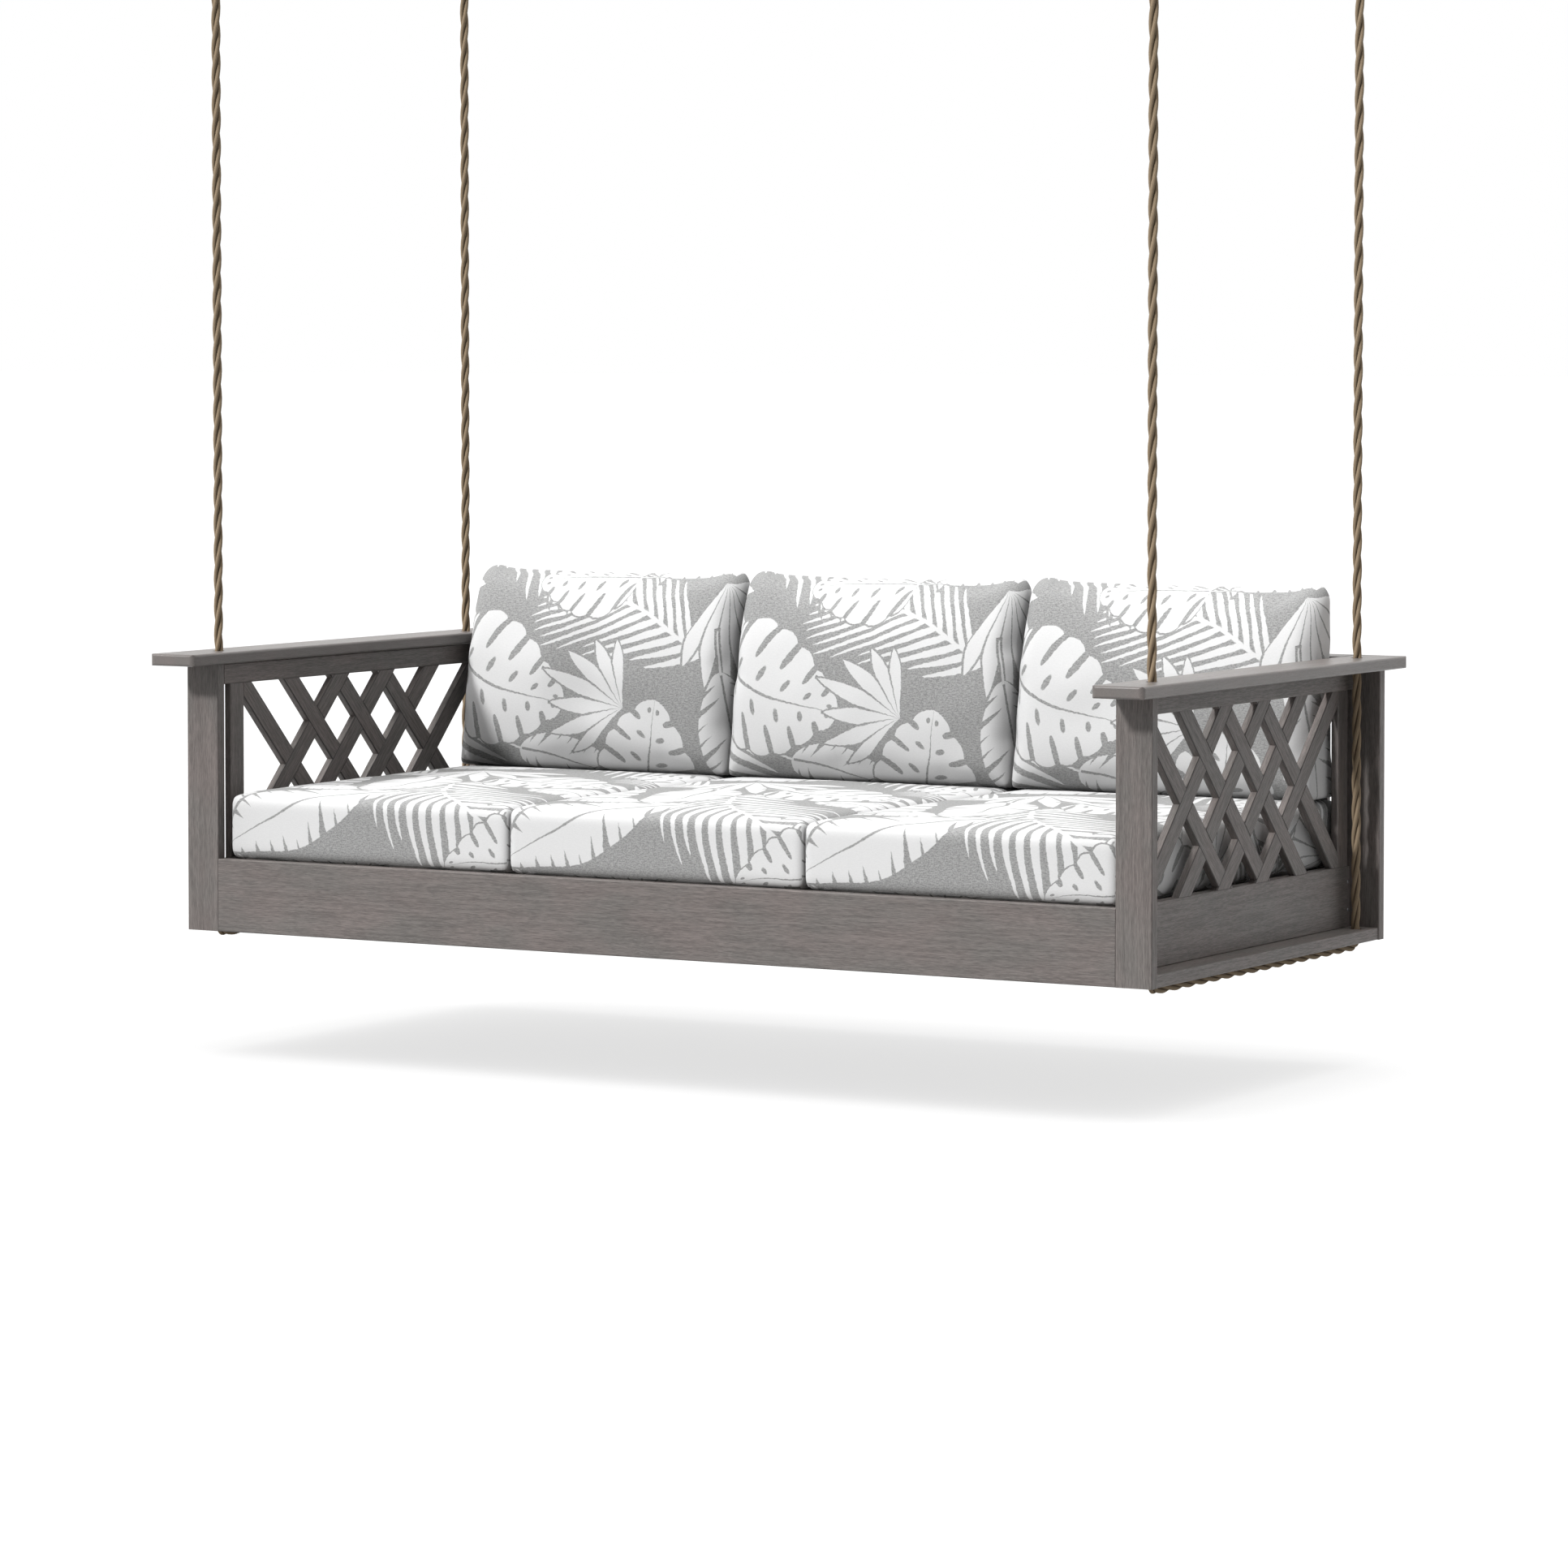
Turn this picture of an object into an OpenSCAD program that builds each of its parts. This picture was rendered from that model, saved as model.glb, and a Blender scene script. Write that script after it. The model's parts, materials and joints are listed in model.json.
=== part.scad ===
// Hanging swing bed: a three-seat daybed frame of eased lumber boards with woven
// lattice ends and back, hung from four ceiling eye bolts by two long ropes.
//
// Frame: the origin is on the ceiling plane, midway between the four eye bolts.
// +X runs along the bed, +Y points to its back, +Z is up, so the bed hangs at
// negative Z. Heights in the bed itself are measured up from its underside.

/* [Bed] */
// Width over the posts
bed_w = 2250; // [2000:10:2500]
// Depth over the posts
bed_d = 1080; // [980:10:1200]
// Ceiling down to the underside of the bed
drop = 2230; // [2100:10:2800]
// Height of the arm tops above the underside
arm_top = 583; // [540:1:640]

/* [Boards] */
// Thickness of every structural board
board_t = 25; // [22:0.5:30]
// Radius of the eased board edges
ease_r = 2.5; // [1.5:0.1:3]
// Width of a post, as seen from the front
post_w = 78; // [70:1:95]
// Height of the front and back rails
rail_h = 152; // [130:1:170]
// Outer edge of the ledge, inboard of the post's outer face
ledge_inset = 2.5; // [1:0.5:8]
// Width of the ledge board under each end
ledge_w = 100; // [95:1:120]

/* [Arms] */
// Width of an arm board
arm_w = 111; // [105:1:125]
// Arm past the outer face of the posts
arm_over_side = 27; // [15:1:35]
// Arm past the front posts
arm_over_front = 94; // [60:1:110]
// Arm past the back posts
arm_over_back = 54; // [40:1:70]
// Radius of the arm's rolled edges
arm_edge_r = 5; // [3:0.5:8]
// Radius of the arm's corners in plan
arm_corner_r = 11; // [9:0.5:20]
// Width of the cap board along the back
cap_w = 89; // [80:1:100]

/* [Lattice panels] */
// Thickness of the stiles and lattice strips
panel_t = 16; // [12:1:20]
// Height of the rail over each panel
top_rail_h = 42; // [35:1:55]
// Width of a stile
stile_w = 48; // [40:1:55]
// Open gap between an end panel's stile and the post
stile_gap = 22; // [16:1:30]
// Open gap between the back panel's stile and the post
back_stile_gap = 40; // [30:1:50]
// Width of a lattice strip
strip_w = 43; // [36:1:50]
// Radius of the strips' eased edges
strip_ease_r = 2.5; // [1.5:0.1:3]
// Strips each way in an end panel
end_strips = 4; // [4:1:5]
// Strips each way in the back panel
back_strips = 10; // [9:1:12]
// Clearance in the half-lap joints
lap_clear = 0.1; // [0.05:0.05:0.3]
// Set-back of the end spacer's face from the side rail's face
spacer_set_back = 4; // [2:0.5:8]

/* [Seat deck] */
// Thickness of a slat
slat_t = 19; // [16:1:24]
// Width of a slat
slat_w = 89; // [60:1:110]
// Number of slats
slat_count = 16; // [12:1:18]
// Top of the slats below the top of the rails
deck_drop = 12; // [6:1:20]
// Depth of the cleats that carry the slats
cleat_d = 38; // [30:1:45]
// Height of the cleats
cleat_h = 25; // [20:1:35]
// Height of the centre stringer
stringer_h = 89; // [70:1:92]
// Thickness of the centre stringer
stringer_t = 38; // [30:1:45]
// Clearance at the ends of slats, cleats and stringer
deck_clear = 0.5; // [0.2:0.1:2]

/* [Steel brackets] */
// Leg of a corner bracket
bracket_leg = 60; // [50:1:75]
// Height of a corner bracket
bracket_h = 40; // [30:1:50]
// Thickness of bracket steel
bracket_t = 3; // [2:0.5:4]
// Height of the corner brackets above the underside
bracket_z = 40; // [30:1:50]
// Diameter of a screw's shank
screw_d = 5; // [4:0.5:6]
// Diameter of a screw's head
screw_head_d = 10; // [9:0.5:12]
// Height of a screw's head
screw_head_h = 3; // [2:0.5:4]
// Length of a screw under its head
screw_len = 18; // [14:1:20]
// Width of the drive recess in a screw's head
screw_drive_d = 4; // [3:0.5:5]
// Height of the saddles that hold the centre stringer
saddle_h = 54; // [40:1:60]
// Length of a saddle along the bed
saddle_len = 40; // [30:1:50]

/* [Cushions] */
// Number of seats along the bed
seats = 3; // [3:1:3]
// Thickness of a seat cushion
seat_cushion_t = 152; // [120:1:170]
// Radius of the seat cushion's long edges
seat_cushion_r = 34; // [20:1:45]
// Height of a back cushion above the seat
back_cushion_h = 445; // [380:1:470]
// Thickness of a back cushion square to its face
back_cushion_t = 150; // [130:1:160]
// Lean of the back cushion's front
back_lean = 12.5; // [8:0.5:16]
// Depth of a back cushion's foot on the seat
back_cushion_foot = 152.5; // [135:0.5:160]
// Radius of the back cushion's edges
back_cushion_r = 30; // [20:1:35]
// Clearance round the cushions
cushion_gap = 1.5; // [0.5:0.5:4]
// Clearance between a cushion and what it rests on
rest_gap = 0.3; // [0.2:0.1:0.5]

/* [Ropes] */
// Diameter of the rope
rope_d = 19; // [16:0.5:20]
// Rope hole's centre, inboard of the post's outer face
rope_in_x = 34; // [32:0.5:36]
// Rope hole's centre, inboard of the post's front or back face
rope_in_y = 66; // [60:1:80]
// Diameter of the rope holes
rope_hole_d = 25.4; // [24:0.2:28]
// Depth of the relief at the mouth of a ledge hole
mouth_relief = 7; // [6.5:0.5:9]
// Height of the rope's hinge point below the arm top
rope_pivot_drop = 6; // [4:0.5:8]
// Radius of the rope's bends under the ledge
sling_bend = 19; // [16:1:24]

/* [Hangers] */
// Diameter of the eye bolt's stud
stud_d = 12; // [10:0.5:16]
// Length of the stud above the ceiling
stud_len = 90; // [60:5:120]
// Diameter of the ceiling washer
washer_d = 44; // [36:1:60]
// Thickness of the ceiling washer
washer_t = 4; // [3:0.5:6]
// Diameter of the eye's wire
eye_wire_d = 12; // [10:0.5:13]
// Inner diameter of the eye
eye_d = 26; // [24:0.5:30]
// Depth of the eye's wire in the washer
eye_sink = 1; // [0.5:0.5:2]
// Diameter of the shoulder between the washer and the eye
shoulder_d = 16; // [14:0.5:20]
// Diameter of the link's wire
link_wire_d = 10; // [8:0.5:11]
// Inner width of the link
link_w = 26; // [25:0.5:30]
// Inner length of the link
link_len = 62; // [58:1:80]
// Width of the link's sleeve nut over its flats
nut_w = 17; // [15:0.5:19]
// Length of the sleeve nut
nut_len = 24; // [18:1:28]
// Inner diameter of the thimble
thimble_d = 28; // [26:0.5:34]
// Wall of the thimble
thimble_wall = 2.5; // [2:0.25:3]
// Height of the thimble's lips above its wall
thimble_lip = 6.5; // [4:0.5:8]
// Angle that the thimble wraps
thimble_wrap = 230; // [200:5:260]
// Diameter of the splice below the rope's eye
splice_d = 25; // [22:0.5:27]
// Length of the splice below the rope's eye
splice_len = 80; // [50:1:95]
// Running clearance at the eye, link and thimble
link_clear = 0.3; // [0.2:0.05:0.5]

/* [Hidden] */
$fn = 48;

lumber = [0.42, 0.39, 0.37];
rope_tan = [0.62, 0.52, 0.40];
steel = [0.72, 0.73, 0.75];
black_steel = [0.12, 0.12, 0.13];
fabric = [0.80, 0.81, 0.81];
eps = 0.01;
cut = 1;

// Half sizes: the bed is centred on X and Y
post_x = bed_w / 2;
post_y = bed_d / 2;
inner_y = post_y - board_t;

// Heights above the underside
arm_bottom = arm_top - board_t;
window_top = arm_bottom - top_rail_h;
side_rail_z = board_t;
deck_top = rail_h - deck_drop;
cleat_top = deck_top - slat_t;

// Planes across the end panels, measured from the bed's centre
panel_in = post_x - post_w;
panel_out = panel_in + panel_t;
side_rail_in = panel_out - board_t;
rail_end_y = inner_y - stile_gap;
end_window = 2 * (rail_end_y - stile_w);
back_stile_x = post_x - post_w - back_stile_gap;
back_window = 2 * (back_stile_x - stile_w);

// Cushions
seat_span = 2 * (side_rail_in - cushion_gap);
seat_pitch = seat_span / seats;
seat_cushion_w = seat_pitch - cushion_gap;
seat_bottom = deck_top + rest_gap;
seat_top = seat_bottom + seat_cushion_t;
cap_front_y = post_y + arm_over_back - cap_w;

// Ropes
rope_r = rope_d / 2;
rope_x = post_x - rope_in_x;
rope_y = post_y - rope_in_y;
sling_z = -rope_r - rest_gap;
sling_top = arm_top - rope_pivot_drop - rope_r - 2 * rest_gap;

// Hanging hardware, measured down from the ceiling
eye_wire_r = eye_wire_d / 2;
eye_ring_r = eye_d / 2 + eye_wire_r;
eye_z = eye_sink - washer_t - eye_wire_r - eye_ring_r;
link_wire_r = link_wire_d / 2;
link_bend = link_w / 2 + link_wire_r;
link_pivot_z = eye_z - eye_d / 2 + link_wire_r + link_clear;
link_leg = link_len - link_w;
link_top_z = link_pivot_z - link_bend;
link_bottom_z = link_top_z - link_leg;
thimble_z = link_bottom_z - link_bend + link_wire_r + link_clear - thimble_d / 2;
loop_r = thimble_d / 2 + thimble_wall + rope_r;
throat_z = thimble_z - loop_r;
splice_r = splice_d / 2;
rope_end_z = -drop + arm_top - rope_pivot_drop;

// ---------- placing ----------

// Heights in the bed are counted from its underside
module in_bed() translate([0, 0, -drop]) children();

// Children are modelled at the right-rear corner and mirrored to the others
module at_corner(side, end) mirror([side < 0 ? 1 : 0, 0, 0]) mirror([0, end < 0 ? 1 : 0, 0]) children();

module at_side(side) mirror([side < 0 ? 1 : 0, 0, 0]) children();

module at_rope(side, end) translate([side * rope_x, end * rope_y, 0]) children();

// ---------- boards ----------

module rounded_rect(w, h, r) {
    square([w - 2 * r, h], center = true);
    square([w, h - 2 * r], center = true);
    for (x = [-1, 1], y = [-1, 1]) translate([x * (w / 2 - r), y * (h / 2 - r)]) circle(r);
}

// A board between two corners, with the four edges along its grain eased
module board(low, high, grain, r = ease_r) {
    size = high - low;
    translate((low + high) / 2) {
        if (grain == "x") rotate([90, 0, 90])
            linear_extrude(size.x, center = true) rounded_rect(size.y, size.z, r);
        else if (grain == "y") rotate([90, 0, 0])
            linear_extrude(size.y, center = true) rounded_rect(size.x, size.z, r);
        else linear_extrude(size.z, center = true) rounded_rect(size.x, size.y, r);
    }
}

module rope_hole(z, depth) at_rope(1, 1) translate([0, 0, z - cut])
    cylinder(d = rope_hole_d, h = depth + 2 * cut);

module post(side, end) color(lumber) in_bed() at_corner(side, end)
    board([post_x - post_w, inner_y, 0], [post_x, post_y, arm_bottom], "z");

// The front and back rails stand between the posts
module long_rail(end) color(lumber) in_bed() at_corner(1, end) difference() {
    board([-panel_in, inner_y, 0], [panel_in, post_y, rail_h], "x");
    for (side = [-1, 1]) at_side(side) rail_pilots();
}

module side_rail(side) color(lumber) in_bed() at_side(side) difference() {
    board([side_rail_in, -rail_end_y, side_rail_z], [panel_out, rail_end_y, rail_h], "y");
    for (end = [-1, 1]) at_corner(1, end) side_pilots();
}

// Blocks that fill the gap between a side rail and a post
module rail_spacers() color(lumber) in_bed() for (side = [-1, 1], end = [-1, 1])
    at_corner(side, end) difference() {
        board([side_rail_in, rail_end_y, side_rail_z],
            [panel_out - spacer_set_back, inner_y, rail_h - ease_r], "z", 1);
        side_pilots();
    }

// A ledge closes the bottom of each end, and the rope passes through it
module ledge(side) color(lumber) in_bed() at_side(side) difference() {
    board([post_x - ledge_inset - ledge_w, -inner_y, 0],
        [post_x - ledge_inset, inner_y, board_t], "y");
    for (end = [-1, 1]) at_corner(1, end) {
        rope_hole(0, board_t);
        at_rope(1, 1) translate([0, 0, -eps])
            cylinder(r1 = rope_hole_d / 2 + mouth_relief, r2 = rope_hole_d / 2, h = mouth_relief);
    }
}

// An arm: rolled edges all round, with a rope hole behind the front post
// and one in front of the back post
module arm(side) {
    long = bed_d + arm_over_front + arm_over_back;
    mid = [post_x + arm_over_side - arm_w / 2, (arm_over_back - arm_over_front) / 2, arm_bottom + board_t / 2];
    color(lumber) in_bed() at_side(side) difference() {
        translate(mid) intersection() {
            linear_extrude(board_t, center = true) rounded_rect(arm_w, long, arm_corner_r);
            rotate([90, 0, 0]) linear_extrude(long + cut, center = true)
                rounded_rect(arm_w, board_t, arm_edge_r);
            rotate([90, 0, 90]) linear_extrude(arm_w + cut, center = true)
                rounded_rect(long, board_t, arm_edge_r);
        }
        for (end = [-1, 1]) at_corner(1, end) rope_hole(arm_bottom, board_t);
    }
}

module back_cap() {
    inner = post_x + arm_over_side - arm_w;
    color(lumber) in_bed() board([-inner, cap_front_y, arm_bottom],
        [inner, post_y + arm_over_back, arm_top], "x", arm_edge_r);
}

module top_rail_end(side) color(lumber) in_bed() at_side(side)
    board([panel_in, -inner_y, window_top], [panel_in + board_t, inner_y, arm_bottom], "y");

module top_rail_back() color(lumber) in_bed()
    board([-panel_in, inner_y, window_top], [panel_in, post_y, arm_bottom], "x");

module stile_end(side, end) color(lumber) in_bed() at_corner(side, end)
    board([panel_in, rail_end_y - stile_w, rail_h], [panel_out, rail_end_y, window_top],
        "z", strip_ease_r);

module stile_back(side) color(lumber) in_bed() at_side(side)
    board([back_stile_x - stile_w, inner_y, rail_h], [back_stile_x, inner_y + panel_t, window_top],
        "z", strip_ease_r);

// ---------- woven lattice ----------
// Drawn flat: x along the panel, y up, z through it. Strip i of either family
// crosses strip j of the other at half pitches, and each crossing is a half lap.

function strip_pitch(window, count) = (window - (window_top - rail_h)) / (count - 1);
function strip_x(i, window, count) = (i - (count - 1) / 2) * strip_pitch(window, count);

module strip_bar(lean, x, length) translate([x, 0, 0]) rotate([0, 0, lean * 45])
    rotate([90, 0, 90]) linear_extrude(length, center = true)
        rounded_rect(strip_w, panel_t, strip_ease_r);

// The half of a crossing that is cut from a strip: its near face or its far face
module half_lap(x, y, near) {
    side = strip_w + 2 * lap_clear;
    depth = panel_t / 2 + lap_clear / 2;
    translate([x, y, near ? panel_t / 2 - depth : -panel_t / 2 - cut]) rotate([0, 0, 45])
        translate([-side / 2, -side / 2, 0]) cube([side, side, depth + cut]);
}

// One family of strips, leaning +1 (rising) or -1 (falling)
module strip_family(lean, window, count) {
    height = window_top - rail_h;
    pitch = strip_pitch(window, count);
    for (i = [0 : count - 1]) difference() {
        intersection() {
            strip_bar(lean, strip_x(i, window, count), 2 * height);
            cube([window, height, 2 * panel_t], center = true);
        }
        for (j = [0 : count - 1]) {
            step = i - j;
            if (abs(step) * pitch / 2 < height / 2 + strip_w)
                half_lap((strip_x(i, window, count) + strip_x(j, window, count)) / 2,
                    -lean * step * pitch / 2, lean > 0 ? step % 2 != 0 : step % 2 == 0);
        }
    }
}

module lattice_end(side, lean) color(lumber) in_bed()
    translate([side * (panel_in + panel_out) / 2, 0, (rail_h + window_top) / 2])
        rotate([90, 0, 90]) strip_family(lean, end_window, end_strips);

module lattice_back(lean) color(lumber) in_bed()
    translate([0, inner_y + panel_t / 2, (rail_h + window_top) / 2])
        rotate([90, 0, 0]) strip_family(lean, back_window, back_strips);

// ---------- seat deck ----------

module cleat(end) color(lumber) in_bed() at_corner(1, end)
    board([-side_rail_in + deck_clear, inner_y - cleat_d, cleat_top - cleat_h],
        [side_rail_in - deck_clear, inner_y, cleat_top], "x", 1);

module centre_stringer() color(lumber) in_bed()
    board([-side_rail_in + deck_clear, -stringer_t / 2, cleat_top - stringer_h],
        [side_rail_in - deck_clear, stringer_t / 2, cleat_top], "x");

module seat_slats() {
    first = side_rail_in - slat_w / 2 - 2 * deck_clear;
    pitch = 2 * first / (slat_count - 1);
    color(lumber) in_bed() for (i = [0 : slat_count - 1]) {
        x = -first + i * pitch;
        board([x - slat_w / 2, -inner_y + deck_clear, cleat_top],
            [x + slat_w / 2, inner_y - deck_clear, deck_top], "y", 2);
    }
}

// ---------- steel ----------

// Screw places along a bracket's leg, from the corner
function leg_places() = [stile_gap / 2, bracket_leg - screw_head_d];

module screw_hole(length, d) cylinder(d = d, h = length);

// Screws through the leg on the side rail point outwards, along +X
module side_screws() for (p = leg_places())
    translate([side_rail_in - bracket_t, inner_y - p, bracket_z + bracket_h / 2])
        rotate([0, 90, 0]) children();

// Screws through the leg on the long rail point along +Y
module rail_screws() for (p = leg_places())
    translate([side_rail_in - p - bracket_t, inner_y - bracket_t, bracket_z + bracket_h / 2])
        rotate([-90, 0, 0]) children();

module side_pilots() side_screws() screw_hole(screw_len + cut, screw_d + 2 * lap_clear);
module rail_pilots() rail_screws() screw_hole(screw_len + cut, screw_d + 2 * lap_clear);

module screw() {
    translate([0, 0, lap_clear]) cylinder(d = screw_d, h = screw_len - lap_clear);
    translate([0, 0, -screw_head_h]) difference() {
        cylinder(d = screw_head_d, h = screw_head_h);
        translate([0, 0, -eps]) cylinder(d = screw_drive_d, h = screw_head_h / 2, $fn = 6);
    }
    cylinder(d = screw_d, h = 2 * lap_clear);
}

module bracket_screws() color(steel) in_bed() for (side = [-1, 1], end = [-1, 1])
    at_corner(side, end) {
        side_screws() screw();
        rail_screws() screw();
    }

// Angle brackets tie the rails together, and a saddle at each end holds the stringer
module steel_brackets() color(black_steel) in_bed() {
    for (side = [-1, 1], end = [-1, 1]) at_corner(side, end) difference() {
        translate([side_rail_in - bracket_leg, inner_y - bracket_leg, bracket_z]) difference() {
            cube([bracket_leg, bracket_leg, bracket_h]);
            translate([-cut, -cut, -cut])
                cube([bracket_leg - bracket_t + cut, bracket_leg - bracket_t + cut, bracket_h + 2 * cut]);
        }
        side_pilots();
        rail_pilots();
    }
    for (side = [-1, 1]) at_side(side) stringer_saddle();
}

module stringer_saddle() {
    inside = stringer_t + 2 * deck_clear;
    outside = inside + 2 * bracket_t;
    base = cleat_top - stringer_h;
    translate([side_rail_in - saddle_len, -outside / 2, base - bracket_t]) difference() {
        cube([saddle_len, outside, saddle_h]);
        translate([-cut, bracket_t, bracket_t]) cube([saddle_len + 2 * cut, inside, saddle_h]);
    }
}

// ---------- cushions ----------

module seat_cushion(seat) color(fabric) in_bed()
    translate([seat * seat_pitch, 0, seat_bottom + seat_cushion_t / 2]) rotate([90, 0, 90])
        linear_extrude(seat_cushion_w, center = true)
            rounded_rect(2 * (inner_y - cushion_gap), seat_cushion_t, seat_cushion_r);

// A back cushion stands on the seat, leans back and rests against the cap
module back_cushion(seat) {
    bottom = seat_top + rest_gap;
    back = cap_front_y - cushion_gap;
    front = back - back_cushion_foot;
    color(fabric) in_bed() intersection() {
        translate([seat * seat_pitch, front, bottom]) rotate([-back_lean, 0, 0])
            translate([0, back_cushion_t / 2, 0]) rotate([90, 0, 90])
                linear_extrude(seat_cushion_w, center = true)
                    translate([0, back_cushion_h / 2 - back_cushion_r])
                        rounded_rect(back_cushion_t, back_cushion_h / cos(back_lean)
                            + 2 * back_cushion_r, back_cushion_r);
        translate([-bed_w, front - back_cushion_r, bottom])
            cube([2 * bed_w, back - front + back_cushion_r, back_cushion_h]);
    }
}

// ---------- ropes ----------

// The rope inside the bed: down through the arm and the ledge, along under the
// ledge, and up through the other two holes
module sling_rope(side) color(rope_tan) in_bed() translate([side * rope_x, 0, 0]) {
    run = rope_y - sling_bend;
    translate([0, run, sling_z]) rotate([90, 0, 0]) cylinder(r = rope_r, h = 2 * run);
    for (end = [-1, 1]) mirror([0, end < 0 ? 1 : 0, 0]) {
        translate([0, rope_y, sling_z + sling_bend])
            cylinder(r = rope_r, h = sling_top - sling_z - sling_bend);
        translate([0, run, sling_z + sling_bend]) rotate([90, 0, 90])
            rotate([0, 0, -90]) rotate_extrude(angle = 90) translate([sling_bend, 0]) circle(rope_r);
    }
}

// A hanging rope: its round end turns in the arm's hole, and its top is spliced
// into an eye round the thimble
module hanging_rope(side, end) color(rope_tan) at_rope(side, end) {
    long = throat_z - splice_len - rope_end_z;
    translate([0, 0, rope_end_z]) rotate_extrude() {
        intersection() {
            circle(rope_r);
            translate([0, -rope_r]) square([rope_r, rope_r]);
        }
        square([rope_r, long]);
        translate([0, long]) polygon([[0, 0], [rope_r, 0], [splice_r, splice_len - splice_r],
            [rope_r / 2, splice_len], [0, splice_len]]);
    }
    translate([0, 0, thimble_z]) rotate([0, 90, 0])
        rotate_extrude() translate([loop_r, 0]) circle(rope_r);
}

// ---------- hanging hardware ----------

module hanger(side, end) color(steel) at_rope(side, end) {
    cylinder(d = stud_d, h = stud_len);
    translate([0, 0, -washer_t]) cylinder(d = washer_d, h = washer_t);
    translate([0, 0, eye_z]) rotate([0, 90, 0]) rotate_extrude() translate([eye_ring_r, 0]) circle(eye_wire_r);
    translate([0, 0, -washer_t - eye_wire_r]) cylinder(d = shoulder_d, h = eye_wire_r + eps);
}

// An oval link with a sleeve nut on one leg
module link(side, end) color(steel) at_rope(side, end) rotate([90, 0, 0]) {
    for (leg = [-1, 1]) translate([leg * link_bend, link_bottom_z, 0]) rotate([-90, 0, 0])
        cylinder(r = link_wire_r, h = link_leg);
    translate([0, link_top_z, 0]) rotate_extrude(angle = 180) translate([link_bend, 0]) circle(link_wire_r);
    translate([0, link_bottom_z, 0]) rotate([0, 0, 180])
        rotate_extrude(angle = 180) translate([link_bend, 0]) circle(link_wire_r);
    translate([link_bend, (link_top_z + link_bottom_z - nut_len) / 2, 0]) rotate([-90, 0, 0])
        cylinder(r = nut_w / sqrt(3), h = nut_len, $fn = 6);
}

// The thimble's half-round channel, with its back at x = 0
module thimble_section() intersection() {
    translate([thimble_wall + rope_r, 0]) difference() {
        circle(rope_r + thimble_wall);
        circle(rope_r + link_clear);
    }
    translate([0, -rope_d]) square([thimble_wall + thimble_lip, 2 * rope_d]);
}

module thimble(side, end) color(steel) at_rope(side, end) translate([0, 0, thimble_z]) rotate([90, 0, 90])
    rotate([0, 0, 90 - thimble_wrap / 2]) rotate_extrude(angle = thimble_wrap)
        translate([thimble_d / 2, 0]) thimble_section();

hanger(-1, -1);  // hanger_front_left
hanger(1, -1);  // hanger_front_right
hanger(-1, 1);  // hanger_rear_left
hanger(1, 1);  // hanger_rear_right
link(-1, -1);  // link_front_left
link(1, -1);  // link_front_right
link(-1, 1);  // link_rear_left
link(1, 1);  // link_rear_right
thimble(-1, -1);  // thimble_front_left
thimble(1, -1);  // thimble_front_right
thimble(-1, 1);  // thimble_rear_left
thimble(1, 1);  // thimble_rear_right
hanging_rope(-1, -1);  // rope_front_left
hanging_rope(1, -1);  // rope_front_right
hanging_rope(-1, 1);  // rope_rear_left
hanging_rope(1, 1);  // rope_rear_right
sling_rope(-1);  // sling_rope_left
sling_rope(1);  // sling_rope_right
post(-1, -1);  // post_front_left
post(1, -1);  // post_front_right
post(-1, 1);  // post_rear_left
post(1, 1);  // post_rear_right
long_rail(-1);  // front_rail
long_rail(1);  // back_rail
side_rail(-1);  // side_rail_left
side_rail(1);  // side_rail_right
ledge(-1);  // ledge_left
ledge(1);  // ledge_right
rail_spacers();
arm(-1);  // arm_left
arm(1);  // arm_right
back_cap();
top_rail_end(-1);  // top_rail_left
top_rail_end(1);  // top_rail_right
top_rail_back();
stile_end(-1, -1);  // stile_left_front
stile_end(-1, 1);  // stile_left_rear
stile_end(1, -1);  // stile_right_front
stile_end(1, 1);  // stile_right_rear
stile_back(-1);  // stile_back_left
stile_back(1);  // stile_back_right
lattice_end(-1, 1);  // lattice_left_rising
lattice_end(-1, -1);  // lattice_left_falling
lattice_end(1, 1);  // lattice_right_rising
lattice_end(1, -1);  // lattice_right_falling
lattice_back(1);  // lattice_back_rising
lattice_back(-1);  // lattice_back_falling
cleat(-1);  // cleat_front
cleat(1);  // cleat_back
centre_stringer();
seat_slats();
steel_brackets();
bracket_screws();
seat_cushion(-1);  // seat_cushion_left
seat_cushion(0);  // seat_cushion_centre
seat_cushion(1);  // seat_cushion_right
back_cushion(-1);  // back_cushion_left
back_cushion(0);  // back_cushion_centre
back_cushion(1);  // back_cushion_right
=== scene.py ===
"""Looks of a hanging swing bed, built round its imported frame.

The camera and the ropes come first, then the finishes of the lumber and steel, the small
fasteners and the printed cushions. All lengths are in metres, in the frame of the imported
model: the origin is on the ceiling plane, midway between the four eye bolts, with X along
the bed, Y to its back and Z up.
"""

from __future__ import annotations

import json
import logging
import math
from collections.abc import Callable, Iterator
from contextlib import contextmanager
from dataclasses import dataclass, field
from enum import Enum

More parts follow.
